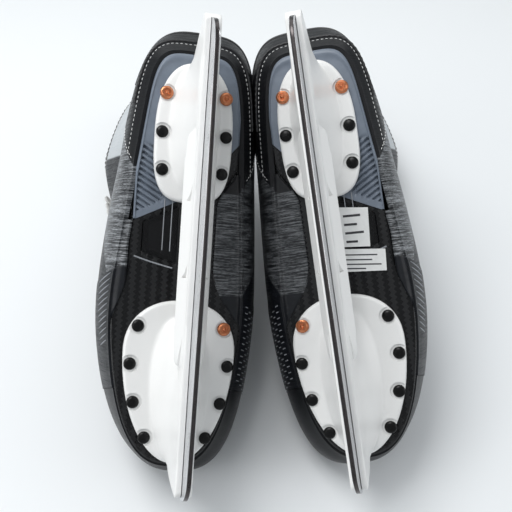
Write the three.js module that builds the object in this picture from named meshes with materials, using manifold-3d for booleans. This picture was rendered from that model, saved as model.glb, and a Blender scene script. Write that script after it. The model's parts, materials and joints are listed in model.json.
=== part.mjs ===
// A pair of ice hockey skates lying face down: soles up, toes towards -Y, heels leaning together.
// Millimetres, +Z up. Each skate is drawn upright in its own frame, with x to the outer side, y to
// the toe and z up into the boot from the sole plane; the left skate is the mirror of the right.
import * as THREE from 'three';
import { mergeVertices } from 'three/addons/utils/BufferGeometryUtils.js';
import Module from 'manifold-3d';

const wasm = await Module();
wasm.setup();

// ---- driving dimensions -------------------------------------------------------------------------
const gap = 0.3; // clearance between touching pieces
const soleHeel = -148; // back end of the sole
const soleLength = 286;
const soleToe = soleHeel + soleLength;
const stretch = soleLength / 286; // the toe pad and its rivets are drawn for this length
const heelHalf = 34; // half width of the sole at the heel
const ballHalf = 46.5; // half width of the sole at the ball of the foot
const ballShift = 3.5; // the ball lies this far to the outer side
const toeShift = 8; // the toe tip lies this far to the inner side
const shaftHeight = 175; // front corner of the collar above the sole plane
const facingFoot = soleToe - 46; // where the facing meets the toe cap
const facingTop = -54; // front corner of the collar
const throatHalf = 17; // half width of the lacing gap
const throatFlare = 8; // extra half width of the gap at the collar
const instep = 73; // the shaft starts at this height
const shaftRise = (shaftHeight - instep) / 102;

const outsole = { thick: 3 };
const boot = { wall: 3.4, board: 2.2, capSeam: soleToe - 42, capLean: 20, counterDip: 9 };
const liner = { thick: 6, front: 6 };
const tongue = { thick: 6.5, half: 30, room: 4.4, flapLength: 34, foot: facingFoot - 14, bendGap: 1.8 };
const guard = { thick: 5, height: shaftHeight + 51, half: 25, waist: shaftHeight - 7 };
const footbed = { thick: 4, margin: 10 };
const seam = { outer: soleHeel + 118, valley: soleHeel + 100, inner: soleHeel + 58, half: heelHalf + 2 }; // V edge
const vent = { margin: 4, front: -8, inner: 7, outer: 31, thick: 1.2 };

const pad = {
  thick: 5.2,
  heel: { back: 7, length: 98, half: 27.5 },
  toe: { front: 1, length: 112.5 * stretch, half: 39, shift: 0.8 },
};
const rail = {
  drop: 49, pitch: 0.01, height: 14, half: 5.6, bridge: 11, heelTip: soleHeel - 16.5, toeTip: soleToe + 12,
};
const steel = {
  thick: 3, drop: 67.8, rocker: 3000, heelTip: rail.heelTip + 4.5, toeTip: rail.toeTip + 1, endRadius: 17, seat: 9,
  tabLength: 26, tabHeight: 13,
};
const bladeBolts = [{ name: 'rear', y: soleHeel + 36 }, { name: 'front', y: soleToe - 42 }];
const bolt = { radius: 2, headRadius: 4.2, head: 3.2, room: 0.35, lug: 2.6, lugHalf: 4.4, lugHeight: 6 };
const rivet = { headRadius: 4.8, dome: 2.6, shank: 2.2, clinchRadius: 3.8, clinch: 1.3, recess: 6.2 };
const rivetRows = [
  { area: 'heel', number: 1, y: soleHeel + 30, half: 21, colours: ['copper', 'copper'] },
  { area: 'heel', number: 2, y: soleHeel + 57, half: 22.5, colours: ['black', 'black'] },
  { area: 'heel', number: 3, y: soleHeel + 83, half: 21, colours: ['black', 'black'] },
  { area: 'toe', number: 1, y: soleToe - 95 * stretch, half: 30, colours: ['black', 'copper'] },
  { area: 'toe', number: 2, y: soleToe - 69 * stretch, half: 34, colours: ['black', 'black'] },
  { area: 'toe', number: 3, y: soleToe - 43 * stretch, half: 30.4, colours: ['black', 'black'] },
  { area: 'toe', number: 4, y: soleToe - 19 * stretch, half: 21.3, colours: ['black', 'black'] },
];
const lace = {
  radius: 1.2, holes: Math.round((shaftHeight - 99) / 11) + 1, first: 84, last: shaftHeight - 15, edge: 7,
  holeRadius: 2.3, loops: 3,
};

const pair = { half: 52.8, roll: -13.4, toeOut: 5.8 }; // half spacing, and degrees for each skate

// Sections of the boot from the sole up. back and front are the ends of the outline at that height,
// heel and ball its half widths, heelShift and ballShift how far they lie to the outer side, and
// slope the angle of the front wall above the horizontal.
const sections = [
  { up: outsole.thick + gap, back: soleHeel - 2, front: soleToe + 2, heel: heelHalf + 2, ball: ballHalf + 1, heelShift: -0.5,
    ballShift, slope: 90 },
  { up: 12, back: soleHeel - 10, front: soleToe + 7, heel: heelHalf + 8.5, ball: ballHalf + 6, heelShift: -1.5,
    ballShift: 1.5, slope: 90 },
  { up: 25, back: soleHeel - 19, front: soleToe + 10, heel: heelHalf + 12.5, ball: ballHalf + 11, heelShift: -3,
    ballShift: -0.5, slope: 90 },
  { up: 40, back: soleHeel - 25, front: soleToe + 10, heel: heelHalf + 13.5, ball: ballHalf + 12.5,
    heelShift: -4.5, ballShift: -1.5, slope: 80 },
  { up: 54, back: soleHeel - 27, front: soleToe + 1, heel: heelHalf + 12.5, ball: ballHalf + 10.5,
    heelShift: -5.5, ballShift: -1.5, slope: 52 },
  { up: 65, back: soleHeel - 27.5, front: soleToe - 15, heel: heelHalf + 11, ball: ballHalf + 4.5,
    heelShift: -6, ballShift: -1.5, slope: 30 },
  { up: instep, back: soleHeel - 27, front: facingFoot + 8, heel: heelHalf + 9.5, ball: ballHalf + 0.5,
    heelShift: -6, ballShift: -1, slope: 26 },
  { up: instep + 15 * shaftRise, back: soleHeel - 24, front: facingFoot - 30, heel: heelHalf + 7.5, ball: ballHalf - 3,
    heelShift: -6, ballShift: -1, slope: 31 },
  { up: instep + 37 * shaftRise, back: soleHeel - 18, front: facingFoot - 70, heel: heelHalf + 5.5, ball: ballHalf - 6,
    heelShift: -6, ballShift: -1.5, slope: 34 },
  { up: instep + 62 * shaftRise, back: soleHeel - 12, front: facingTop + 44, heel: heelHalf + 5, ball: ballHalf - 4.5,
    heelShift: -5, ballShift: 1.5, slope: 40 },
  { up: shaftHeight - 18, back: soleHeel - 9, front: facingTop + 17, heel: heelHalf + 6, ball: ballHalf - 2,
    heelShift: -3.5, ballShift: 3, slope: 44 },
  { up: shaftHeight, back: soleHeel - 8, front: facingTop, heel: heelHalf + 5, ball: ballHalf - 1.5,
    heelShift: -3.5, ballShift: 1.5, slope: 42 },
  { up: shaftHeight + 25, back: soleHeel - 6, front: facingTop - 36, heel: heelHalf, ball: ballHalf - 14,
    heelShift: -4, ballShift: -2, slope: 34 },
  { up: shaftHeight + 55, back: soleHeel - 3, front: facingTop - 80, heel: heelHalf - 6, ball: ballHalf - 28,
    heelShift: -4, ballShift: -2, slope: 34 },
];
const around = 24; // points in each outline
// The heel's outline is squarer at the sole, and rounds off by these heights on its two sides.
const heelRound = { sole: 5, shaft: 2.6, outer: 45, inner: 110 };
const toeRound = 2.6;

// ---- small tools --------------------------------------------------------------------------------
const radians = THREE.MathUtils.degToRad;
const smooth = THREE.MathUtils.smoothstep;

function toManifold(geometry) {
  const bare = geometry.clone();
  bare.deleteAttribute('normal');
  bare.deleteAttribute('uv');
  const merged = mergeVertices(bare, 1e-4);
  const vertProperties = new Float32Array(merged.attributes.position.array);
  return new wasm.Manifold(new wasm.Mesh({
    numProp: 3, vertProperties, triVerts: new Uint32Array(merged.index.array),
  }));
}

function toGeometry(solid) {
  const made = solid.getMesh();
  const geometry = new THREE.BufferGeometry();
  geometry.setAttribute('position', new THREE.BufferAttribute(made.vertProperties, 3));
  geometry.setIndex(new THREE.BufferAttribute(made.triVerts, 1));
  return geometry;
}

// Solid between rings of points, closed by a fan at each end; rings run counter-clockwise from above.
function loft(rings) {
  const count = rings[0].length;
  const points = rings.flat();
  const triangles = [];
  const centre = (ring) => ring.reduce((sum, p) => sum.add(p), new THREE.Vector3()).divideScalar(count);
  for (let level = 0; level + 1 < rings.length; level++) {
    for (let i = 0; i < count; i++) {
      const a = level * count + i;
      const b = level * count + (i + 1) % count;
      triangles.push(a, b, b + count, a, b + count, a + count);
    }
  }
  const low = points.length;
  const high = low + 1;
  const top = (rings.length - 1) * count;
  for (let i = 0; i < count; i++) {
    const next = (i + 1) % count;
    triangles.push(low, next, i, high, top + i, top + next);
  }
  points.push(centre(rings[0]), centre(rings[rings.length - 1]));
  const geometry = new THREE.BufferGeometry().setFromPoints(points);
  geometry.setIndex(triangles);
  return toManifold(geometry);
}

function shapeOf(points) {
  return new THREE.Shape(points.map(([x, y]) => new THREE.Vector2(x, y)));
}

// A plan outline (x, y) made solid from height z0 to z1.
function planPlate(shape, z0, z1) {
  const geometry = new THREE.ExtrudeGeometry(shape, { depth: z1 - z0, bevelEnabled: false, curveSegments: 8 });
  return toManifold(geometry.translate(0, 0, z0));
}

// A side outline (y, z) made solid from x0 to x1, with its edges bevelled where bevel is above 0.
const sideways = new THREE.Matrix4().makeBasis(
  new THREE.Vector3(0, 1, 0), new THREE.Vector3(0, 0, 1), new THREE.Vector3(1, 0, 0));

function sidePlate(shape, x0, x1, bevel = 0) {
  const geometry = new THREE.ExtrudeGeometry(shape, {
    depth: x1 - x0 - 2 * bevel, bevelEnabled: bevel > 0, bevelSegments: 1, bevelThickness: bevel,
    bevelSize: bevel, bevelOffset: -bevel, curveSegments: 8,
  });
  geometry.translate(0, 0, x0 + bevel).applyMatrix4(sideways);
  return toManifold(geometry);
}

function box(x0, x1, y0, y1, z0, z1) {
  const geometry = new THREE.BoxGeometry(x1 - x0, y1 - y0, z1 - z0);
  return toManifold(geometry.translate((x0 + x1) / 2, (y0 + y1) / 2, (z0 + z1) / 2));
}

// Upright cylinder at (x, y) from z0 to z1.
function post(x, y, radius, z0, z1, sides = 12) {
  const geometry = new THREE.CylinderGeometry(radius, radius, z1 - z0, sides).rotateX(Math.PI / 2);
  return toManifold(geometry.translate(x, y, (z0 + z1) / 2));
}

// Cutter for a hole of this radius, whose flat sides clear the circle.
function holeCutter(x, y, radius, z0, z1, sides = 6) {
  return post(x, y, radius / Math.cos(Math.PI / sides), z0, z1, sides);
}

function material(color, roughness, metalness = 0) {
  return new THREE.MeshStandardMaterial({ color, roughness, metalness });
}

// ---- the boot's surface -------------------------------------------------------------------------
// Outline of a section, inset along the wall's normal, at angle a from the heel through the outer side.
function outlinePoint(section, a, inset) {
  const along = -Math.cos(a);
  const lean = radians(section.slope);
  const half = (section.front - section.back) / 2;
  const spread = smooth(along, -0.85, 0.4);
  const width = THREE.MathUtils.lerp(section.heel, section.ball, spread) - inset;
  const skew = toeShift * smooth(section.up, -10, 25) * smooth(section.front, facingFoot - 30, soleToe)
    * Math.max(0, along) ** 3;
  const shift = THREE.MathUtils.lerp(section.heelShift, section.ballShift, spread) - skew;
  const rounded = Math.sin(a) > 0 ? heelRound.outer : heelRound.inner;
  const rear = THREE.MathUtils.lerp(heelRound.sole, heelRound.shaft, smooth(section.up, 0, rounded));
  const power = THREE.MathUtils.lerp(rear, toeRound, smooth(along, -0.2, 0.2));
  const taper = Math.pow(Math.max(0, 1 - Math.abs(along) ** power), 1 / power);
  const insetAlong = along > 0 ? inset * Math.sin(lean) : inset;
  const y = section.back + half + (half - insetAlong) * along;
  const z = section.up - inset * Math.cos(lean) * smooth(along, 0.1, 0.9);
  return new THREE.Vector3(shift + Math.sign(Math.sin(a)) * width * taper, y, z);
}

function ring(section, inset) {
  return Array.from({ length: around }, (_, i) => outlinePoint(section, 2 * Math.PI * i / around, inset));
}

// Solid body of the boot, inset all round, from the first section to the last.
function bootBody(inset, from = 0, to = sections.length - 1, floor = sections[0].up) {
  const rings = sections.slice(from, to + 1).map((section) => ring(section, inset));
  rings[0].forEach((point) => { point.z = floor; });
  return loft(rings);
}

// Section at any height, between the listed ones.
function sectionAt(up) {
  const upper = Math.max(1, sections.findIndex((s) => s.up >= up));
  const [a, b] = [sections[upper - 1], sections[upper]];
  const share = (up - a.up) / (b.up - a.up);
  return Object.fromEntries(Object.keys(a).map((key) => [key, THREE.MathUtils.lerp(a[key], b[key], share)]));
}

// Point of the facing at height up and side position x, lifted off the boot by lift.
function facingPoint(x, up, lift) {
  const section = sectionAt(up);
  const front = ring(section, 0).slice(around / 4, 3 * around / 4 + 1); // from the outer to the inner side
  const next = Math.min(front.length - 1, Math.max(1, front.findIndex((p) => p.x <= x)));
  const [a, b] = [front[next - 1], front[next]];
  const [dx, dy] = [b.x - a.x, b.y - a.y];
  const lean = radians(section.slope);
  const flat = Math.sin(lean) / Math.hypot(dx, dy);
  const normal = new THREE.Vector3(dy * flat, -dx * flat, Math.cos(lean));
  return a.clone().lerp(b, (a.x - x) / (a.x - b.x)).addScaledVector(normal, lift);
}

// ---- boot pieces --------------------------------------------------------------------------------
// Collar line seen from the side, from the tendon guard's foot to the front corner, lowered by drop.
function collarLine(drop) {
  return [
    [soleHeel - 40, guard.waist - drop], [soleHeel, guard.waist - 1 - drop],
    [soleHeel + 34, guard.waist - boot.counterDip - drop], [facingTop - 32, shaftHeight - 8 - drop],
    [facingTop - 10, shaftHeight - drop], [facingTop + 10, shaftHeight + 3 - drop],
  ];
}

const wide = 120; // half width of a cutting block, beyond every piece

// Everything behind the toe cap's seam and below the collar.
function bodySide(drop, setBack) {
  return sidePlate(shapeOf([
    [soleHeel - 40, -1], [boot.capSeam - boot.capLean / 2 - setBack, -1],
    [boot.capSeam - setBack, 60], [boot.capSeam - setBack, shaftHeight], [facingTop + 10, shaftHeight + 10],
    ...collarLine(drop).reverse(),
  ]), -wide, wide);
}

function capSide() {
  return sidePlate(shapeOf([
    [boot.capSeam - boot.capLean / 2, -1], [soleToe + 40, -1], [soleToe + 40, shaftHeight],
    [boot.capSeam, shaftHeight], [boot.capSeam, 60],
  ]), -wide, wide);
}

// Plan wedge over the instep: half width at the toe cap and at the collar, from y0 up to y1.
function instepWedge(footHalf, topHalf, y0, y1, z0) {
  const half = (y) => THREE.MathUtils.mapLinear(y, facingFoot, facingTop, footHalf, topHalf);
  return planPlate(shapeOf([[-half(y0), y0], [half(y0), y0], [half(y1), y1], [-half(y1), y1]]),
    z0, shaftHeight + 80);
}

const boardTop = sections[0].up + boot.board;
const clinchTop = boardTop + gap + rivet.clinch;
const instepFloor = 56; // cuts over the instep start at this height
const behindThroat = facingTop - 60;

const padBottom = -gap - pad.thick;

const rivetSpots = rivetRows.flatMap((row) => [1, -1].map((side) => ({
  ...row, side, x: side * row.half + ballShift * (row.area === 'toe' ? 0.2 : 0),
  colour: row.colours[side === 1 ? 0 : 1],
})));

// Holes through everything that a rivet or a blade bolt passes.
function soleHoles(z0, z1) {
  const holes = rivetSpots.map((spot) => holeCutter(spot.x, spot.y, rivet.shank + gap, z0, z1));
  const access = bladeBolts.map((b) => holeCutter(0, b.y, bolt.headRadius + bolt.room, z0, z1, 10));
  return holes.concat(access).reduce((all, hole) => all.add(hole));
}

const throat = instepWedge(throatHalf, throatHalf + throatFlare, behindThroat, facingFoot - 6, instepFloor);
const shellWall = bootBody(0).subtract(bootBody(boot.wall, 0, sections.length - 1, boardTop))
  .subtract(throat).subtract(soleHoles(0, boardTop + 1));

// Lacing holes, evenly spaced up the facing on both sides.
const laceRows = Array.from({ length: lace.holes }, (_, i) =>
  THREE.MathUtils.lerp(lace.first, lace.last, i / (lace.holes - 1)));

function laceHoleX(up) {
  const y = facingPoint(throatHalf, up, 0).y;
  return THREE.MathUtils.mapLinear(y, facingFoot, facingTop, throatHalf, throatHalf + throatFlare) + lace.edge;
}

function laceHole(up, side) {
  const x = side * laceHoleX(up);
  const inner = facingPoint(x, up, -9);
  const outer = facingPoint(x, up, 9);
  const drill = new THREE.CylinderGeometry(lace.holeRadius, lace.holeRadius, inner.distanceTo(outer), 6);
  const turn = new THREE.Quaternion().setFromUnitVectors(
    new THREE.Vector3(0, 1, 0), outer.clone().sub(inner).normalize());
  drill.applyQuaternion(turn).translate(...inner.clone().add(outer).multiplyScalar(0.5).toArray());
  return toManifold(drill);
}

const laceHoles = laceRows.flatMap((up) => [1, -1].map((side) => laceHole(up, side)));

function bootShell() {
  return laceHoles.reduce((shell, hole) => shell.subtract(hole), shellWall.intersect(bodySide(0, gap)));
}

const toeCap = () => shellWall.intersect(capSide());

const wallInside = boot.wall + gap;
const tongueTop = boot.wall + tongue.room;

function ankleLiner() {
  const layer = bootBody(wallInside, 0, sections.length - 1, 14)
    .subtract(bootBody(wallInside + liner.thick, 0, sections.length - 1, 12));
  const region = bodySide(1.5, boot.capSeam - liner.front);
  const tongueRoom = instepWedge(tongue.half - 3 + 1, tongue.half + 1, behindThroat, soleToe, instepFloor);
  return layer.intersect(region).subtract(tongueRoom);
}

// Line across the tongue where its flap bends, square to the facing at the collar.
const bend = radians(sections.find((s) => s.up === shaftHeight).slope);
const bendPoint = { y: facingTop - 9, z: shaftHeight - 6 };

// Half plane block above (side 1) or below (side -1) the bend, set off from it.
function bendBlock(side, off) {
  const [dy, dz] = [-Math.cos(bend), Math.sin(bend)];
  const [ny, nz] = [Math.sin(bend), Math.cos(bend)];
  const base = [bendPoint.y + side * off * dy, bendPoint.z + side * off * dz];
  const far = side * 200;
  return sidePlate(shapeOf([
    [base[0] - 40 * ny, base[1] - 40 * nz], [base[0] + 40 * ny, base[1] + 40 * nz],
    [base[0] + 40 * ny + far * dy, base[1] + 40 * nz + far * dz],
    [base[0] - 40 * ny + far * dy, base[1] - 40 * nz + far * dz],
  ]), -wide, wide);
}

function tongueLayer() {
  const layer = bootBody(tongueTop).subtract(bootBody(tongueTop + tongue.thick, 0, sections.length - 1, 1));
  const strip = instepWedge(tongue.half - 3, tongue.half, behindThroat, tongue.foot, instepFloor + 4);
  return layer.intersect(strip);
}

const tongueBody = () => tongueLayer().intersect(bendBlock(-1, tongue.bendGap / 2));

function tongueFlap() {
  return tongueLayer().intersect(bendBlock(1, tongue.bendGap / 2)).subtract(bendBlock(1, tongue.flapLength));
}

function tendonGuard() {
  const layer = bootBody(0.2).subtract(bootBody(guard.thick, 0, sections.length - 1, 1));
  const region = sidePlate(shapeOf([
    [soleHeel - 40, guard.waist + 1.2], [soleHeel - 6, guard.waist + 1.2], [soleHeel + 22, guard.waist + 14],
    [soleHeel + 8, guard.height - 10], [soleHeel, guard.height], [soleHeel - 40, guard.height],
  ]), -guard.half, guard.half);
  return layer.intersect(region);
}

// ---- sole pieces --------------------------------------------------------------------------------
const soleSection = { ...sections[0], back: soleHeel, front: soleToe, heel: heelHalf, ball: ballHalf };

function solePlate(inset, z0, z1) {
  return planPlate(new THREE.Shape(ring(soleSection, inset).map((p) => new THREE.Vector2(p.x, p.y))), z0, z1);
}

// Region in front of (side 1) or behind (side -1) the V seam between the heel insert and the outsole.
function seamRegion(side, off) {
  const far = side > 0 ? soleToe + 50 : soleHeel - 50;
  return planPlate(shapeOf([
    [-wide, seam.inner + off], [-seam.half, seam.inner + off], [0, seam.valley + off],
    [seam.half, seam.outer + off], [wide, seam.outer + off], [wide, far], [-wide, far],
  ]), -20, 20);
}

const seamY = (x) => THREE.MathUtils.mapLinear(x, 0, seam.half, seam.valley, seam.outer);

function ventShape(grow) {
  return shapeOf([
    [vent.inner - grow, seamY(vent.inner) + vent.margin - grow],
    [vent.outer + grow, seamY(vent.outer) + vent.margin - grow],
    [vent.outer + grow, vent.front + grow], [vent.inner - grow, vent.front + 7 + grow],
  ]);
}

function frontOutsole() {
  return solePlate(0, 0, outsole.thick).intersect(seamRegion(1, gap))
    .subtract(soleHoles(-1, outsole.thick + 1))
    .subtract(planPlate(ventShape(gap), -1, vent.thick + gap));
}

const heelInsert = () => solePlate(0, 0, outsole.thick).intersect(seamRegion(-1, 0))
  .subtract(soleHoles(-1, outsole.thick + 1));

const insole = () => solePlate(footbed.margin, clinchTop + gap, clinchTop + gap + footbed.thick);
const ventPanel = () => planPlate(ventShape(0), 0, vent.thick);

// ---- holder, steel and bolts --------------------------------------------------------------------
// Egg-shaped outline, widest at y = widest, made of two superellipses.
function eggPoints({ back, widest, front, half, shift = 0, backRound, frontRound }, count = 16) {
  return Array.from({ length: count }, (_, i) => {
    const a = 2 * Math.PI * i / count;
    const along = -Math.cos(a);
    const round = along < 0 ? backRound : frontRound;
    const y = widest + along * (along < 0 ? widest - back : front - widest);
    const taper = Math.pow(Math.max(0, 1 - Math.abs(along) ** round), 1 / round);
    return [shift + Math.sign(Math.sin(a)) * half * taper, y];
  });
}

function eggLoft(levels) {
  return loft(levels.map((level) => eggPoints(level).map(([x, y]) => new THREE.Vector3(x, y, level.z))));
}

const heelPad = {
  back: soleHeel + pad.heel.back, widest: soleHeel + 58, front: soleHeel + pad.heel.back + pad.heel.length,
  half: pad.heel.half, backRound: 2.4, frontRound: 3.2,
};
const toePad = {
  back: soleToe - pad.toe.front - pad.toe.length, widest: soleToe - 78, front: soleToe - pad.toe.front,
  half: pad.toe.half, shift: pad.toe.shift, backRound: 2.2, frontRound: 1.95,
};

const railZ = (y) => -rail.drop + rail.pitch * y;
const edgeZ = (y) => -steel.drop + rail.pitch * y + y * y / (2 * steel.rocker);

const towers = [
  [
    { z: railZ(0) + 2, back: rail.heelTip + 0.4, widest: soleHeel + 30, front: soleHeel + 64, half: rail.half + 0.8 },
    { z: -32, back: rail.heelTip + 7, widest: soleHeel + 38, front: soleHeel + 73, half: 8 },
    { z: -17, back: soleHeel + 3, widest: soleHeel + 47, front: soleHeel + 85, half: 12 },
    { z: padBottom + 0.5, back: heelPad.back + 3, widest: soleHeel + 54, front: heelPad.front - 6, half: 18 },
  ],
  [
    { z: railZ(0) + 3, back: soleToe - 74, widest: soleToe - 36, front: rail.toeTip - 1, half: rail.half - 0.2 },
    { z: -25, back: soleToe - 82, widest: soleToe - 42, front: rail.toeTip - 6, half: 9 },
    { z: -14, back: soleToe - 92, widest: soleToe - 52, front: soleToe + 2, half: 14 },
    { z: padBottom + 0.5, back: toePad.back + 9, widest: soleToe - 62, front: toePad.front - 3, half: 21 },
  ],
].map((levels) => levels.map((level) => ({ ...level, backRound: 2.2, frontRound: 2.2 })));

function railShape() {
  const top = (y) => railZ(y) + rail.height;
  const shape = new THREE.Shape();
  shape.moveTo(rail.heelTip + 5, railZ(rail.heelTip));
  shape.lineTo(rail.toeTip - 4, railZ(rail.toeTip));
  shape.quadraticCurveTo(rail.toeTip + 1, railZ(rail.toeTip) + 1, rail.toeTip - 1, railZ(rail.toeTip) + 7);
  shape.quadraticCurveTo(rail.toeTip - 6, -12, toePad.front - 4, padBottom + 1);
  shape.lineTo(toePad.back + 12, padBottom + 1);
  shape.quadraticCurveTo(toePad.back + 34, top(56) + 6, toePad.back + 14, top(40));
  shape.lineTo(heelPad.front - 10, top(-52));
  shape.quadraticCurveTo(heelPad.front - 34, top(-70) + 3, heelPad.front - 9, padBottom + 1);
  shape.lineTo(heelPad.back + 5, padBottom + 1);
  shape.quadraticCurveTo(heelPad.back - 4, -18, rail.heelTip + 1, railZ(rail.heelTip) + 9);
  shape.quadraticCurveTo(rail.heelTip - 2, railZ(rail.heelTip) + 3, rail.heelTip + 5, railZ(rail.heelTip));
  return shape;
}

// Beam between the towers, wider at its top than along the rail's foot.
const bridge = [[railZ(0) + 2.5, rail.half - 0.2], [railZ(0) + rail.height, rail.bridge]].map(([z, half]) => ({
  z, half, back: heelPad.front - 45, widest: -8, front: toePad.back + 42, backRound: 9, frontRound: 9,
}));

// Triangular pockets in the rail's sides: tip towards the heel, base towards the toe.
const pockets = [
  { y: soleHeel + 92, length: 15, rise: 8 }, { y: -4, length: 13, rise: 7.5 }, { y: soleToe - 98, length: 40, rise: 17 },
];

function pocketCut({ y, length, rise }, side) {
  const foot = (at) => railZ(at) + 4.5;
  const shape = shapeOf([[y, foot(y)], [y + length, foot(y + length)], [y + length * 0.94, foot(y + length) + rise]]);
  const depth = rail.half - 2;
  return side > 0 ? sidePlate(shape, depth, wide) : sidePlate(shape, -wide, -depth);
}

// Steel runner seen from the side, grown by grow; the tabs that take the bolts stand on its top edge.
function steelShape(grow) {
  const steps = 26;
  const [from, to] = [steel.heelTip - grow, steel.toeTip + grow];
  const radius = steel.endRadius;
  const bottom = Array.from({ length: steps + 1 }, (_, i) => {
    const y = THREE.MathUtils.lerp(from, to, (1 - Math.cos(Math.PI * i / steps)) / 2);
    const into = Math.max(0, radius - (y - from), radius - (to - y));
    return [y, edgeZ(y) + radius - Math.sqrt(Math.max(0, radius * radius - into * into)) - grow];
  });
  const top = (y) => railZ(y) + steel.seat + grow;
  const tabs = bladeBolts.slice().reverse().flatMap(({ y }) => {
    const half = steel.tabLength / 2 + grow;
    const up = top(y) + steel.tabHeight;
    return [[y + half, top(y + half)], [y + half - 4, up], [y - half + 4, up], [y - half, top(y - half)]];
  });
  const end = (y) => Math.max(railZ(y), edgeZ(y) + radius) + 1.5;
  return shapeOf([...bottom, [to, end(to)], [to - 14, top(to - 14)], ...tabs,
    [from + 14, top(from + 14)], [from, end(from)]]);
}

// Seat height of a blade bolt's head, and its lug on the steel.
const boltSeat = -gap - bolt.head;
const lugTop = (y) => railZ(y) + steel.seat + steel.tabHeight - 2;

function lugBlock(y, grow) {
  const half = bolt.lugHalf + grow;
  return box(-bolt.lug - 0.6 - grow, bolt.lug + 0.6 + grow, y - half, y + half,
    lugTop(y) - bolt.lugHeight - grow, lugTop(y) + grow);
}

function holder() {
  const body = [
    planPlate(shapeOf(eggPoints(heelPad, 24)), padBottom, -gap),
    planPlate(shapeOf(eggPoints(toePad, 24)), padBottom, -gap),
    ...towers.map(eggLoft),
    eggLoft(bridge),
    sidePlate(railShape(), -rail.half, rail.half, 1.4),
  ].reduce((all, piece) => all.add(piece));
  const cuts = [
    sidePlate(steelShape(gap), -steel.thick / 2 - gap, steel.thick / 2 + gap),
    ...pockets.flatMap((pocket) => [pocketCut(pocket, 1), pocketCut(pocket, -1)]),
    ...rivetSpots.map((spot) => holeCutter(spot.x, spot.y, rivet.shank + gap, padBottom - 1, 1)),
    ...rivetSpots.map((spot) => post(spot.x, spot.y, rivet.recess, padBottom - 4, padBottom + 1, 10)),
    ...bladeBolts.flatMap(({ y }) => [
      holeCutter(0, y, bolt.headRadius + bolt.room, boltSeat, 1, 12),
      holeCutter(0, y, bolt.radius + gap, lugTop(y) - 20, 1, 10),
      lugBlock(y, gap).add(box(-bolt.lug - 0.6 - gap, bolt.lug + 0.6 + gap, y - bolt.lugHalf - gap,
        y + bolt.lugHalf + gap, railZ(y) - 5, lugTop(y) - 1)),
    ]),
  ];
  return cuts.reduce((all, cut) => all.subtract(cut), body);
}

function steelRunner() {
  const plate = sidePlate(steelShape(0), -steel.thick / 2, steel.thick / 2);
  return bladeBolts.reduce((all, { y }) => all.add(lugBlock(y, 0))
    .subtract(holeCutter(0, y, bolt.radius + gap, lugTop(y) - bolt.lugHeight - 3, lugTop(y) + 5, 10)), plate);
}

function bladeBolt(y) {
  const end = lugTop(y) - bolt.lugHeight - 1;
  return new THREE.LatheGeometry([[0, end], [bolt.radius, end + 0.6], [bolt.radius, boltSeat + gap],
    [bolt.headRadius, boltSeat + gap], [bolt.headRadius, -gap], [1.6, -gap], [1.6, -gap - 1.6], [0, -gap - 1.6]]
    .map(([r, z]) => new THREE.Vector2(r, z)), 12).rotateX(Math.PI / 2).translate(0, y, 0);
}

// Rivet with its domed head below the pad and its clinched end on the boot's board.
function rivetGeometry() {
  const seat = padBottom + 1 - gap;
  return new THREE.LatheGeometry([[0, seat - rivet.dome], [2.4, seat - rivet.dome * 0.86],
    [rivet.headRadius * 0.86, seat - rivet.dome * 0.45], [rivet.headRadius, seat], [rivet.shank, seat],
    [rivet.shank, boardTop + gap], [rivet.clinchRadius, boardTop + gap], [2.6, clinchTop], [0, clinchTop]]
    .map(([r, z]) => new THREE.Vector2(r, z)), 8).rotateX(Math.PI / 2);
}

// ---- lace ---------------------------------------------------------------------------------------
const laceUnder = -(boot.wall + 2.1);
const laceOver = 2.6;
const laceRoom = [0.9, -2.6]; // lift of the two strands where they cross

// Strand from the hole of one row over the facing's edge to the next row's hole on the other side.
function strand(side, row, crossing) {
  const [low, high] = [laceRows[row], laceRows[row + 1]];
  const share = (t) => THREE.MathUtils.lerp(low, high, t);
  return [
    facingPoint(side * (laceHoleX(share(0.2)) - lace.edge - 1), share(0.2), laceOver),
    facingPoint(0, share(0.5), crossing),
    facingPoint(-side * (laceHoleX(share(0.8)) - lace.edge - 1), share(0.8), laceUnder),
    facingPoint(-side * laceHoleX(high), high, laceUnder),
    facingPoint(-side * laceHoleX(high), high, laceOver),
  ];
}

function laceHalf(side) {
  const first = laceRows[0];
  const points = [facingPoint(side * laceHoleX(first), first, laceUnder),
    facingPoint(side * laceHoleX(first), first, laceOver)];
  for (let row = 0; row + 1 < lace.holes; row++) {
    const from = side * (-1) ** row;
    points.push(...strand(from, row, laceRoom[(row + (side > 0 ? 0 : 1)) % 2]));
  }
  return points;
}

// The outer end lies in loops on the shaft's outer side; the inner end is tucked under the facing.
function laceLoops() {
  const points = [];
  for (let i = 0; i < lace.loops; i++) {
    const up = lace.last - 1 - i * 7;
    const near = laceHoleX(up) + 5;
    const far = sectionAt(up).ball - 4;
    points.push(facingPoint(near, up, laceOver + 0.6), facingPoint(far, up, laceOver + 2.2),
      facingPoint(far, up - 3.5, laceOver + 2.2), facingPoint(near, up - 3.5, laceOver + 0.6));
  }
  return points;
}

function lacePath() {
  const outerEnd = laceHalf(lace.holes % 2 ? 1 : -1).concat(laceLoops());
  const innerEnd = laceHalf(lace.holes % 2 ? -1 : 1);
  innerEnd.pop();
  const bar = [8, 0, -8].map((x) => facingPoint(Math.sign(outerEnd[0].x) * x, laceRows[0], laceUnder));
  return outerEnd.reverse().concat(bar, innerEnd);
}

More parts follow.
